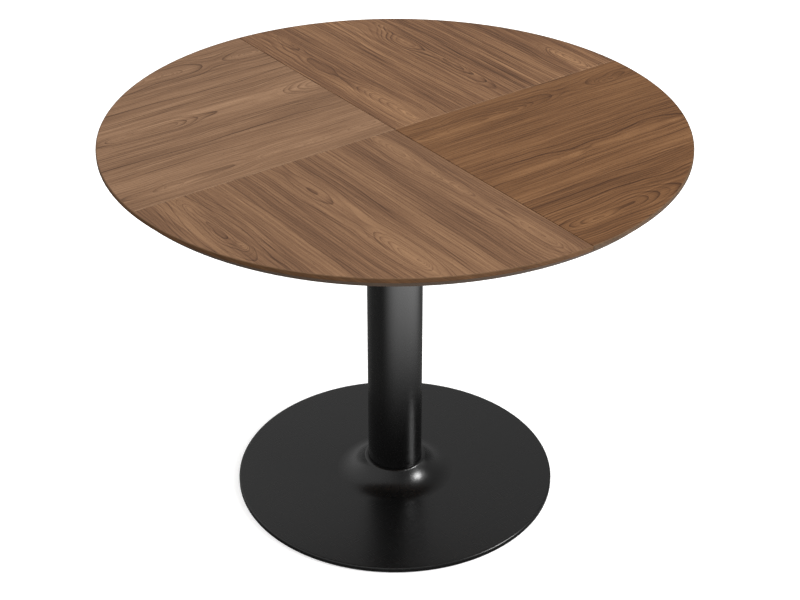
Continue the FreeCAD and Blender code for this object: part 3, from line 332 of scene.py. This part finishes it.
def make_stipple():
    """The fine orange peel of powder coat and the grain of moulded or cast skins."""
    made, tree, given = new_group(
        "stipple",
        [("Vector", "Vector", None), ("Cell", "Float", 0.0012)],
        [("Height", "Float"), ("Speck", "Float")],
    )
    near = tree.vector("DIVIDE", given["Vector"], tree.join(*[given["Cell"]] * 3))
    soft = tree.noise(near, 2.0, 0.45)
    fine = tree.noise(tree.vector("MULTIPLY", near, (3.1, 3.1, 3.1)), 2.0, 0.6)
    height = tree.scaled_sum(0.0, (soft, 0.8), (fine, 0.2))
    speck = tree.spread(fine, 0.62, 0.74)
    close_group(tree, Height=height, Speck=speck)
    return made


LEAF_LAYOUT = make_leaf_layout()
KNOT = make_knot()
GROWTH_RINGS = make_rings()
GRAIN_FIBRES = make_fibres()
RUB_MARKS = make_rub()
STIPPLE = make_stipple()


# ---------------------------------------------------------------- materials
def new_material(name):
    """A material with a bare Principled shader. Gives it with its tree, shader and place socket."""
    made = bpy.data.materials.new(name)
    made.use_nodes = True
    made.node_tree.nodes.clear()
    tree = Tree(made.node_tree)
    shader = tree.add("ShaderNodeBsdfPrincipled")
    end = tree.add("ShaderNodeOutputMaterial")
    tree.feed(end.inputs["Surface"], shader.outputs["BSDF"])
    place = tree.add("ShaderNodeTexCoord").outputs["Object"]
    return made, tree, shader, place


def bump(tree, shader, height, depth):
    """Raises the skin by up to depth where height is 1."""
    made = tree.add("ShaderNodeBump", {"Height": height, "Distance": depth, "Strength": 1.0})
    tree.feed(shader.inputs["Normal"], made.outputs["Normal"])


# Each quarter's knots and eyes, in millimetres: along the grain from the table's middle, across from
# the seam that the grain follows, length and width. The last number is how many rings close round it.
FIGURE = {
    "left_veneer": [
        (25, 46, 60, 15, 5), (140, 42, 55, 15, 5), (235, 46, 32, 9, 3), (430, 38, 80, 18, 4),
        (385, 250, 75, 11, 3), (415, 252, 14, 7, 3), (30, 445, 48, 14, 4), (205, 446, 16, 8, 3),
    ],
    "front_veneer": [
        (40, 445, 42, 17, 5), (118, 446, 40, 9, 2), (205, 440, 14, 8, 3), (370, 250, 85, 20, 5),
        (402, 245, 16, 7, 3), (60, 48, 60, 17, 5), (165, 54, 45, 12, 4), (250, 45, 28, 9, 3),
        (430, 40, 90, 14, 4),
    ],
    "right_veneer": [
        (78, 65, 70, 16, 6), (200, 64, 52, 10, 3), (450, 60, 22, 7, 3), (115, 264, 60, 10, 3),
        (190, 265, 15, 7, 3), (330, 262, 85, 12, 4), (430, 265, 16, 8, 3), (72, 460, 55, 16, 4),
    ],
    "back_veneer": [
        (10, 60, 150, 26, 8), (455, 65, 45, 9, 4), (390, 265, 42, 9, 4), (170, 265, 85, 13, 4),
        (60, 465, 80, 18, 5),
    ],
}
# Which way each quarter's grain runs out from the middle, and its seed
GRAIN = {
    "left_veneer": ("x", -1, 1, 1.0),
    "front_veneer": ("y", -1, -1, 12.0),
    "right_veneer": ("x", 1, -1, 23.0),
    "back_veneer": ("y", 1, 1, 37.0),
}
# The colours of each quarter, as display colours of its dark lines, its ground and its light streaks.
# They hold each quarter's own tone and also painted light: the lighter, pinker left quarter carries a
# painted sheen.
QUARTER_TONE_AND_SHEEN = {
    "left_veneer": ((90, 61, 40), (151, 112, 81), (196, 154, 118)),
    "front_veneer": ((82, 52, 33), (140, 101, 71), (186, 142, 103)),
    "right_veneer": ((78, 46, 22), (133, 90, 53), (176, 128, 84)),
    "back_veneer": ((62, 37, 21), (138, 97, 66), (202, 154, 110)),
}
# The studio's light shows a finish about twice as bright as its own colour
EXPOSURE = 0.495


def toned(colour):
    """The shader colour that shows as this display colour in the studio's light."""
    return tuple(level * EXPOSURE for level in rgb(*colour))


def walnut_face(name):
    """Open-pored walnut under a matt lacquer, in three leaves a quarter."""
    made, tree, shader, place = new_material(name.replace("veneer", "walnut"))
    axis, along_way, across_way, seed = GRAIN[name]
    x, y, _ = tree.split(place)
    long_axis, short_axis = (x, y) if axis == "x" else (y, x)
    along = tree.math("MULTIPLY", long_axis, along_way)
    across = tree.math("MULTIPLY", short_axis, across_way)
    leaf = tree.group(LEAF_LAYOUT, Across=across)
    waver = tree.noise(
        tree.join(
            tree.math("MULTIPLY", along, 22.0), tree.math("MULTIPLY", across, 40.0), seed
        ), 2.0, 0.55,
    )
    bent = tree.math("MULTIPLY_ADD", tree.math("SUBTRACT", waver, 0.5), 0.012, across)
    lift = 0.0
    for far, side, length, width, rings in FIGURE[name]:
        spot = tree.group(
            KNOT, Along=along, Across=bent, Along_Place=far * MM, Across_Place=side * MM,
            Length=length * MM, Width=width * MM, Rings=rings,
        )
        lift = tree.math("ADD", spot["Lift"], lift)
    rings = tree.group(
        GROWTH_RINGS, Along=along, Local=leaf["Local"], Leaf=leaf["Leaf"], Lift=lift, Seed=seed,
    )
    level = tree.math("MULTIPLY_ADD", leaf["Leaf"], 3.7, seed)
    grain = tree.group(
        GRAIN_FIBRES, Along=along, Across=across, Level=level, Bend=rings["Wobble"]
    )
    glow = tree.spread(lift, 0.6, 3.5)
    tone = tree.scaled_sum(
        -0.60, (grain["Band"], 0.55), (grain["Streak"], 0.72), (grain["Fibre"], 0.80),
        (rings["Ring Tone"], 0.25), (rings["Line"], -0.50), (glow, 0.12),
    )
    # Each quarter's own tone, and in the lighter left quarter a painted sheen.
    dark, ground, light = (toned(colour) for colour in QUARTER_TONE_AND_SHEEN[name])
    colour = tree.ramp(tone, [(0.12, dark), (0.5, ground), (0.92, light)])
    espresso = tuple(level * 0.35 for level in dark)
    shade = tree.scaled_sum(0.0, (grain["Pore"], 0.42), (leaf["Joint"], 0.12))
    colour = tree.blend(tree.math("MINIMUM", shade, 0.9), colour, (*espresso, 1.0))
    # Painted highlight: a pale, patchy line along the bevel of the joint that crosses the split, where
    # it catches the light.
    bare = painted_seam_highlight(tree, place)
    colour = tree.blend(bare, colour, (*toned((206, 176, 146)), 1.0))
    rub = tree.group(RUB_MARKS, Vector=place)
    rough = tree.scaled_sum(
        0.44, (rub["Cloud"], 0.10), (grain["Pore"], 0.22), (rings["Line"], 0.05),
        (rub["Hairline"], 0.05),
    )
    tree.feed(shader.inputs["Base Color"], colour)
    tree.feed(shader.inputs["Roughness"], rough)
    shader.inputs["Specular IOR Level"].default_value = 0.15
    height = tree.scaled_sum(0.0, (grain["Pore"], -1.0), (grain["Fibre"], 0.25))
    bump(tree, shader, height, 0.06 * MM)
    return made


# How far from the joint the painted highlight on its bevel is full, and where it is gone again
SEAM_HIGHLIGHT_FULL_TO, SEAM_HIGHLIGHT_GONE_FROM = 0.6 * MM, 1.6 * MM


def painted_seam_highlight(tree, place):
    """A painted highlight along the bevel of the joint that crosses the split, where that bevel catches
    the light: how much of the pale colour shows.
    """
    off_joint = tree.math("ABSOLUTE", tree.split(place)[1])
    beside = tree.spread(off_joint, SEAM_HIGHLIGHT_FULL_TO, SEAM_HIGHLIGHT_GONE_FROM, 1.0, 0.0)
    uneven = tree.noise(tree.vector("MULTIPLY", place, (60.0, 300.0, 0.0)), 2.0, 0.6)
    share = tree.spread(uneven, 0.3, 0.7, 0.10, 0.35)
    return tree.math("MULTIPLY", beside, share)


def straight_grain(name, dark, ground, light, seed, pore, rough, gloss, round_edge=False):
    """Straight-grained wood with its grain along X, or round the table's edge. Gives the material
    with its tree, shader, colour and height over the floor."""
    made, tree, shader, place = new_material(name)
    x, y, z = tree.split(place)
    if round_edge:
        turn = tree.math("ARCTAN2", y, tree.math("ABSOLUTE", x))
        along = tree.math("MULTIPLY", turn, TOP_RADIUS)
        across, level = z, tree.math("MULTIPLY", x, 0.7)
    else:
        along, across, level = x, y, z
    bend = tree.noise(tree.join(tree.math("MULTIPLY", along, 5.0), seed, 0.0), 2.0, 0.5)
    across = tree.math("MULTIPLY_ADD", level, 0.9, across)
    grain = tree.group(
        GRAIN_FIBRES, Along=along, Across=across, Level=tree.math("ADD", level, seed), Bend=bend
    )
    tone = tree.scaled_sum(
        -0.45, (grain["Band"], 0.5), (grain["Streak"], 0.85), (grain["Fibre"], 0.55)
    )
    colour = tree.ramp(tone, [(0.1, toned(dark)), (0.5, toned(ground)), (0.9, toned(light))])
    deep = tuple(level * 0.4 for level in toned(dark))
    colour = tree.blend(tree.math("MULTIPLY", grain["Pore"], pore), colour, (*deep, 1.0))
    tree.feed(shader.inputs["Base Color"], colour)
    rub = tree.group(RUB_MARKS, Vector=place)
    tree.feed(
        shader.inputs["Roughness"],
        tree.scaled_sum(rough - 0.05, (rub["Cloud"], 0.1), (grain["Pore"], 0.1)),
    )
    shader.inputs["Specular IOR Level"].default_value = gloss
    height = tree.scaled_sum(0.0, (grain["Pore"], -1.0), (grain["Fibre"], 0.4))
    bump(tree, shader, height, 0.07 * MM)
    return made, tree, shader, colour, z


def wood(name, dark, ground, light, seed, pore, rough, gloss=0.3):
    """Plain planed wood with its grain along X."""
    return straight_grain(name, dark, ground, light, seed, pore, rough, gloss)[0]


# Depths on the edge band below the table's face: where its painted shade is full and where it starts,
# and where the painted highlight on the rounded arris ends and where it is full
SHADE_FULL, SHADE_START = 9 * MM, 5 * MM
ARRIS_HIGHLIGHT_END, ARRIS_HIGHLIGHT_FULL = 1.4 * MM, 0.3 * MM


def walnut_edge(name, dark, ground, light, seed):
    """The solid band round a half, with a painted highlight along its rounded top arris and painted
    shade that darkens the rim downwards.
    """
    made, tree, shader, colour, z = straight_grain(
        name, dark, ground, light, seed, pore=0.35, rough=0.5, gloss=0.1, round_edge=True
    )
    # Painted shade: the rim darkens towards its lower edge.
    low = tree.spread(z, TOP - SHADE_FULL, TOP - SHADE_START, 1.0, 0.0)
    painted_shade_colour = (*toned((44, 36, 30)), 1.0)
    colour = tree.blend(tree.math("MULTIPLY", low, 0.20), colour, painted_shade_colour)
    # Painted highlight: a pale line along the rounded top arris.
    high = tree.spread(z, TOP - ARRIS_HIGHLIGHT_END, TOP - ARRIS_HIGHLIGHT_FULL)
    arris = (*toned((166, 132, 102)), 1.0)
    colour = tree.blend(tree.math("MULTIPLY", high, 0.35), colour, arris)
    tree.feed(shader.inputs["Base Color"], colour)
    return made


# The board's bevel is stained from STAIN_TO outwards, and bare inside STAIN_FROM
BEVEL_STAIN = (80, 61, 44)
STAIN_FROM, STAIN_TO = TOP_RADIUS - 18 * MM, TOP_RADIUS - 17 * MM


def board(name, ground, fleck):
    """Dense fibreboard: short pressed fibres lying in every direction, stained dark at its bevel."""
    made, tree, shader, place = new_material(name)
    lay = tree.group(STIPPLE, Vector=place, Cell=0.9 * MM)
    hairs = [
        tree.noise(tree.vector("MULTIPLY", place, stretch), 3.0, 0.6)
        for stretch in ((300.0, 1900.0, 900.0), (1700.0, 260.0, 900.0))
    ]
    strands = tree.spread(tree.math("MAXIMUM", *hairs), 0.55, 0.75)
    colour = tree.blend(strands, (*toned(ground), 1.0), (*toned(fleck), 1.0))
    shade = tree.math("MULTIPLY", lay["Speck"], 0.35)
    colour = tree.blend(shade, colour, (*toned(tuple(level // 2 for level in ground)), 1.0))
    flat = tree.vector("MULTIPLY", place, (1.0, 1.0, 0.0))
    radius = tree.add("ShaderNodeVectorMath", {"Vector": flat}, operation="LENGTH")
    outer = tree.spread(radius.outputs["Value"], STAIN_FROM, STAIN_TO)
    colour = tree.blend(outer, colour, (*toned(BEVEL_STAIN), 1.0))
    tree.feed(shader.inputs["Base Color"], colour)
    tree.feed(shader.inputs["Roughness"], tree.scaled_sum(0.62, (lay["Height"], 0.2)))
    shader.inputs["Specular IOR Level"].default_value = 0.25
    bump(tree, shader, lay["Height"], 0.08 * MM)
    return made


def coated(name, ground, rough, cell=1.1 * MM, gloss=0.4):
    """Paint or powder on steel: fine orange peel, a slow change of gloss and a few rub marks."""
    made, tree, shader, place = new_material(name)
    peel = tree.group(STIPPLE, Vector=place, Cell=cell)
    rub = tree.group(RUB_MARKS, Vector=place, Cloud_Size=0.16)
    base = toned(ground)
    worn = tuple(level * 1.9 + 0.003 for level in base)
    share = tree.scaled_sum(0.0, (peel["Speck"], 0.25), (rub["Hairline"], 0.35))
    colour = tree.blend(share, (*base, 1.0), (*worn, 1.0))
    tree.feed(shader.inputs["Base Color"], colour)
    tree.feed(
        shader.inputs["Roughness"],
        tree.scaled_sum(rough - 0.04, (rub["Cloud"], 0.08), (rub["Hairline"], 0.08)),
    )
    shader.inputs["Specular IOR Level"].default_value = gloss
    bump(tree, shader, peel["Height"], 0.05 * MM)
    return made


def plated(name, colour, rough, brush=(40.0, 900.0, 900.0)):
    """Bright plate over drawn metal, with fine lines and slightly clouded gloss."""
    made, tree, shader, place = new_material(name)
    lines = tree.noise(tree.vector("MULTIPLY", place, brush), 3.0, 0.6)
    rub = tree.group(RUB_MARKS, Vector=place, Cloud_Size=0.02)
    dull = tuple(level * 0.76 for level in colour)
    share = tree.scaled_sum(-0.2, (rub["Cloud"], 0.8), (lines, 0.4))
    tree.feed(
        shader.inputs["Base Color"],
        tree.blend(tree.spread(share, 0.0, 1.0), (*colour, 1.0), (*dull, 1.0)),
    )
    tree.feed(
        shader.inputs["Roughness"], tree.scaled_sum(rough - 0.1, (lines, 0.12), (rub["Cloud"], 0.1))
    )
    shader.inputs["Metallic"].default_value = 1.0
    bump(tree, shader, lines, 0.02 * MM)
    return made


def moulded(name, colour, rough):
    """Moulded plastic with a slightly uneven skin."""
    made, tree, shader, place = new_material(name)
    skin = tree.group(STIPPLE, Vector=place, Cell=0.8 * MM)
    rub = tree.group(RUB_MARKS, Vector=place, Cloud_Size=0.03)
    base = toned(colour)
    shaded = tuple(level * 0.82 for level in base)
    tree.feed(
        shader.inputs["Base Color"], tree.blend(rub["Cloud"], (*base, 1.0), (*shaded, 1.0))
    )
    tree.feed(shader.inputs["Roughness"], tree.scaled_sum(rough - 0.06, (rub["Cloud"], 0.12)))
    shader.inputs["Specular IOR Level"].default_value = 0.45
    bump(tree, shader, skin["Height"], 0.03 * MM)
    return made


def make_finishes():
    """Every finish by the name of its slot in the record. The quarters' veneers go by node."""
    finishes = {name: walnut_face(name) for name in GRAIN}
    finishes.update({
        # The two bands' colours are partly their own tone and partly painted light: the left band is
        # brighter and redder to make up for less light on the left, and the right band is greyer where
        # light from the right falls.
        "left_edge_band": walnut_edge("left_edge", (70, 47, 28), (108, 74, 44), (136, 97, 64), 4.0),
        "right_edge_band": walnut_edge("right_edge", (64, 46, 28), (98, 73, 50), (126, 99, 74), 9.0),
        "core_board": board("core_board", (86, 66, 52), (112, 86, 66)),
        "backing_sheet": wood(
            "backing_walnut", (62, 44, 33), (92, 67, 50), (118, 88, 66), 8.0, pore=0.25, rough=0.55
        ),
        "black_coat": coated("black_powder", (6, 6, 6), 0.27, gloss=0.6),
        "ballast_steel": coated("dark_primer", (52, 50, 48), 0.55, cell=2 * MM, gloss=0.3),
        "beech": wood(
            "planed_beech", (158, 118, 84), (198, 160, 122), (222, 190, 152), 5.0, pore=0.18,
            rough=0.46, gloss=0.35,
        ),
        "zinc_steel": plated("zinc_plate", (0.62, 0.63, 0.62), 0.32),
        "black_lever": coated("black_lever_paint", (30, 30, 30), 0.32, cell=0.9 * MM),
        "nylon": moulded("natural_nylon", (224, 220, 206), 0.42),
        "glide_plastic": moulded("glide_black", (38, 38, 38), 0.5),
        "dowel_wood": wood(
            "dowel_beech", (170, 130, 92), (206, 170, 130), (226, 196, 160), 6.0, pore=0.15,
            rough=0.5,
        ),
        "brass": plated("turned_brass", (0.80, 0.60, 0.28), 0.30, brush=(900.0, 60.0, 900.0)),
    })
    return finishes


def dress_nodes(finishes):
    """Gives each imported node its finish."""
    slots = {part["node"]: part["material_slot"] for part in frame["record"]["subparts"]}
    for name, piece in NODES.items():
        finish = finishes.get(name) or finishes[slots[name]]
        for place in piece.material_slots:
            place.material = finish


# ---------------------------------------------------------------- pieces made here
def new_piece(name, mesh_maker, finish, body, replaced):
    """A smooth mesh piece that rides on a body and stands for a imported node."""
    mesh = bpy.data.meshes.new(name)
    builder = bmesh.new()
    mesh_maker(builder)
    bmesh.ops.recalc_face_normals(builder, faces=builder.faces)
    builder.to_mesh(mesh)
    builder.free()
    for face in mesh.polygons:
        face.use_smooth = True
    mesh.set_sharp_from_angle(angle=math.radians(40))
    piece = bpy.data.objects.new(name, mesh)
    bpy.context.scene.collection.objects.link(piece)
    mesh.materials.append(finish)
    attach(piece, body)
    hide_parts(replaced)


def bridge_rings(builder, rings):
    """Joins rings of corners, each a list of places, into one skin that is closed at both ends."""
    rows = [[builder.verts.new(place) for place in ring] for ring in rings]
    for lower, upper in zip(rows, rows[1:]):
        for number in range(len(lower)):
            following = (number + 1) % len(lower)
            builder.faces.new(
                (lower[number], lower[following], upper[following], upper[number])
            )
    builder.faces.new(rows[0])
    builder.faces.new(rows[-1])


FLUTES, SIDES_PER_FLUTE, FLUTE_DEPTH = 18, 4, 0.06
DOWEL_NOSE, DOWEL_CHAMFER, NOSE_STEPS = 3 * MM, 1.2 * MM, 4


def fluted_dowels(builder):
    """Dowels along X with straight flutes and a rounded nose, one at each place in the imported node."""
    low, high = (Vector(corner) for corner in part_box("alignment_dowels"))
    radius = (high.z - low.z) / 2
    middle = (high.z + low.z) / 2
    shoulder = high.x - DOWEL_NOSE
    stations = [(low.x, 0.92), (low.x + DOWEL_CHAMFER, 1.0), (shoulder, 1.0)]
    for step in range(1, NOSE_STEPS + 1):
        turn = step / NOSE_STEPS * math.pi / 2
        stations.append((shoulder + DOWEL_NOSE * math.sin(turn), 0.45 + 0.55 * math.cos(turn)))
    for line in dowel_lines():
        rings = []
        for place, share in stations:
            ring = []
            for number in range(FLUTES * SIDES_PER_FLUTE):
                turn = 2 * math.pi * number / (FLUTES * SIDES_PER_FLUTE)
                dip = FLUTE_DEPTH * (0.5 + 0.5 * math.cos(turn * FLUTES))
                reach = radius * share * (1 - dip)
                ring.append((place, line + reach * math.cos(turn), middle + reach * math.sin(turn)))
            rings.append(ring)
        bridge_rings(builder, rings)


DOWEL_SPACE = 20 * MM


def dowel_lines():
    """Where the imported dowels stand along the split: the middles of the runs of corners that lie
    more than DOWEL_SPACE apart."""
    mesh = NODES["alignment_dowels"].data
    spots = sorted(vertex.co.y for vertex in mesh.vertices)
    lines, group = [], [spots[0]]
    for spot in spots[1:]:
        if spot - group[-1] > DOWEL_SPACE:
            lines.append((group[0] + group[-1]) / 2)
            group = []
        group.append(spot)
    lines.append((group[0] + group[-1]) / 2)
    return lines


THREAD_PITCH, THREAD_DEPTH = 2 * MM, 0.9 * MM
THREAD_UNDER_PLATE = 20 * MM
ROD_SIDES, RINGS_PER_PITCH = 48, 12


def threaded_rod(builder):
    """The tie rod: a plain shank and, over its top, a rolled thread that stands clear of the nut."""
    low, high = (Vector(corner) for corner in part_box("tie_rod"))
    radius = high.x
    root = radius - THREAD_DEPTH
    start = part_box("top_plate")[0][2] - THREAD_UNDER_PLATE
    point = 1.5 * MM
    end = high.z - point
    rings = [circle(root, low.z), circle(radius, low.z + THREAD_DEPTH), circle(radius, start)]
    rise = THREAD_PITCH / RINGS_PER_PITCH
    height = start + rise
    while height < end:
        ring = []
        for number in range(ROD_SIDES):
            turn = 2 * math.pi * number / ROD_SIDES
            phase = ((height / THREAD_PITCH) - number / ROD_SIDES) % 1.0
            crest = 1 - abs(2 * phase - 1)
            reach = radius - THREAD_DEPTH * (1 - min(1.0, crest * 1.3))
            ring.append((reach * math.cos(turn), reach * math.sin(turn), height))
        rings.append(ring)
        height += rise
    rings += [circle(root, end + 0.2 * MM), circle(radius - point, high.z)]
    bridge_rings(builder, rings)


def circle(radius, height):
    """One level ring of the rod's corners."""
    turns = [2 * math.pi * number / ROD_SIDES for number in range(ROD_SIDES)]
    return [(radius * math.cos(turn), radius * math.sin(turn), height) for turn in turns]


# ---------------------------------------------------------------- the studio
# Reflections see a pool of light on the floor towards POOL_SIDE, from POOL_NEAR to full at POOL_FAR,
# and brighter air towards BRIGHT_SIDE. Seen by the camera itself, the whole floor glows with the share
# PLAIN_LIFT of the pool's strength.
POOL_SIDE, POOL_NEAR, POOL_FAR, POOL_STRENGTH = (0.05, -1.0, 0.0), 0.3, 1.1, 3.7
BRIGHT_SIDE = (-0.81, 0.59, 0.0)
FLOOR_HALF = 14.0
PLAIN_LIFT = 0.10


def make_floor():
    """A plain pale floor, wide enough for every view, lifted so that shadows on it stay faint.
    Reflections see it darker, with a pool of light on one side."""
    builder = bmesh.new()
    corners = [(-1, -1), (1, -1), (1, 1), (-1, 1)]
    builder.faces.new(
        [builder.verts.new((x * FLOOR_HALF, y * FLOOR_HALF, 0.0)) for x, y in corners]
    )
    mesh = bpy.data.meshes.new("studio_floor")
    builder.to_mesh(mesh)
    builder.free()
    floor = bpy.data.objects.new("studio_floor", mesh)
    bpy.context.scene.collection.objects.link(floor)
    paper, tree, shader, place = new_material("floor_paper")
    tone = tree.noise(tree.vector("MULTIPLY", place, (3.0, 3.0, 3.0)), 2.0, 0.5)
    pale = tree.blend(tone, (0.90, 0.90, 0.895, 1.0), (0.93, 0.93, 0.928, 1.0))
    rays = tree.add("ShaderNodeLightPath").outputs
    mirrored = rays["Is Glossy Ray"]
    tree.feed(
        shader.inputs["Base Color"], tree.blend(mirrored, pale, (0.14, 0.14, 0.138, 1.0))
    )
    reach = tree.add("ShaderNodeVectorMath", {"Vector": place}, operation="LENGTH").outputs["Value"]
    side = tree.add("ShaderNodeVectorMath", operation="DOT_PRODUCT")
    tree.feed(side.inputs[0], tree.vector("NORMALIZE", place))
    tree.feed(side.inputs[1], POOL_SIDE)
    pool = tree.math(
        "MULTIPLY", tree.spread(side.outputs["Value"], 0.0, 1.0),
        tree.spread(reach, POOL_NEAR, POOL_FAR),
    )
    pool = tree.math("MULTIPLY", pool, mirrored)
    lift = tree.math("MULTIPLY_ADD", rays["Is Camera Ray"], PLAIN_LIFT, pool)
    tree.feed(
        shader.inputs["Emission Color"],
        tree.blend(lift, (0.0, 0.0, 0.0, 1.0), (1.0, 1.0, 1.0, 1.0)),
    )
    shader.inputs["Emission Strength"].default_value = POOL_STRENGTH
    shader.inputs["Roughness"].default_value = 0.85
    shader.inputs["Specular IOR Level"].default_value = 0.1
    mesh.materials.append(paper)


def softbox(name, place, aim, width, power, mirrored=True, flagged_to=None):
    """A round soft lamp. It can be kept out of reflections, or flagged so that it lights only the
    given pieces."""
    light = bpy.data.lights.new(name, "AREA")
    light.shape = "DISK"
    light.size = width
    light.energy = power
    lamp = bpy.data.objects.new(name, light)
    lamp.visible_glossy = mirrored
    if flagged_to:
        lit = bpy.data.collections.new(name + "_lights_only")
        for piece in flagged_to:
            lit.objects.link(piece)
        lamp.light_linking.receiver_collection = lit
    lamp.location = place
    lamp.rotation_euler = (Vector(aim) - Vector(place)).to_track_quat("-Z", "Y").to_euler()
    bpy.context.scene.collection.objects.link(lamp)


def light_studio():
    """Soft white air, dimmer in reflections and dimmest to the right, and the softboxes. The key
    is flagged off the top, so that no glare crosses the lacquer."""
    world = bpy.data.worlds.new("studio_air")
    world.use_nodes = True
    air = world.node_tree.nodes["Background"]
    air.inputs["Color"].default_value = (1.0, 1.0, 1.0, 1.0)
    tree = Tree(world.node_tree)
    facing = tree.add("ShaderNodeTexCoord").outputs["Generated"]
    side = tree.add("ShaderNodeVectorMath", operation="DOT_PRODUCT")
    tree.feed(side.inputs[0], facing)
    tree.feed(side.inputs[1], BRIGHT_SIDE)
    mirrored_air = tree.spread(side.outputs["Value"], -0.7, 0.9, 0.24, 0.72)
    mirrored = tree.add("ShaderNodeLightPath").outputs["Is Glossy Ray"]
    strength = tree.add("ShaderNodeMix", data_type="FLOAT")
    tree.feed(strength.inputs["Factor"], mirrored)
    tree.feed(strength.inputs[2], 1.0)
    tree.feed(strength.inputs[3], mirrored_air)
    tree.feed(air.inputs["Strength"], strength.outputs[0])
    scene = bpy.context.scene
    scene.world = world
    scene.view_settings.view_transform = "Standard"
    softbox("overhead_softbox", (0.1, -0.2, 3.6), (0.0, 0.0, 0.7), 4.0, 60.0)
    side, foot = (2.07, -2.49, 2.0), (0.0, 0.0, 0.4)
    softbox("side_softbox", side, foot, 1.3, 84.0, mirrored=False)
    steel = [NODES["base_cover"], NODES["column_tube"]]
    softbox("key_softbox", (2.00, -2.41, 1.95), foot, 1.0, 76.0, flagged_to=steel)
    softbox("key_halo", (2.17, -2.61, 2.08), foot, 2.3, 30.0, flagged_to=steel)


def place_camera():
    """A long lens, to the left of the front and high enough to look down on the top."""
    camera = bpy.data.cameras.new("studio_camera")
    camera.lens = 76.23
    camera.sensor_width = 36.0
    camera.shift_x = 0.00625
    mount = bpy.data.objects.new("studio_camera", camera)
    mount.location = (-1.610, -2.200, 2.045)
    mount.rotation_euler = (math.radians(58.92), 0.0, math.radians(-36.2))
    bpy.context.scene.collection.objects.link(mount)
    bpy.context.scene.camera = mount


place_camera()
make_floor()
light_studio()
finishes = make_finishes()
dress_nodes(finishes)
new_piece(
    "fluted_dowels", fluted_dowels, finishes["dowel_wood"], "left_half",
    "alignment_dowels",
)
new_piece("threaded_tie_rod", threaded_rod, finishes["zinc_steel"], "pedestal", "tie_rod")
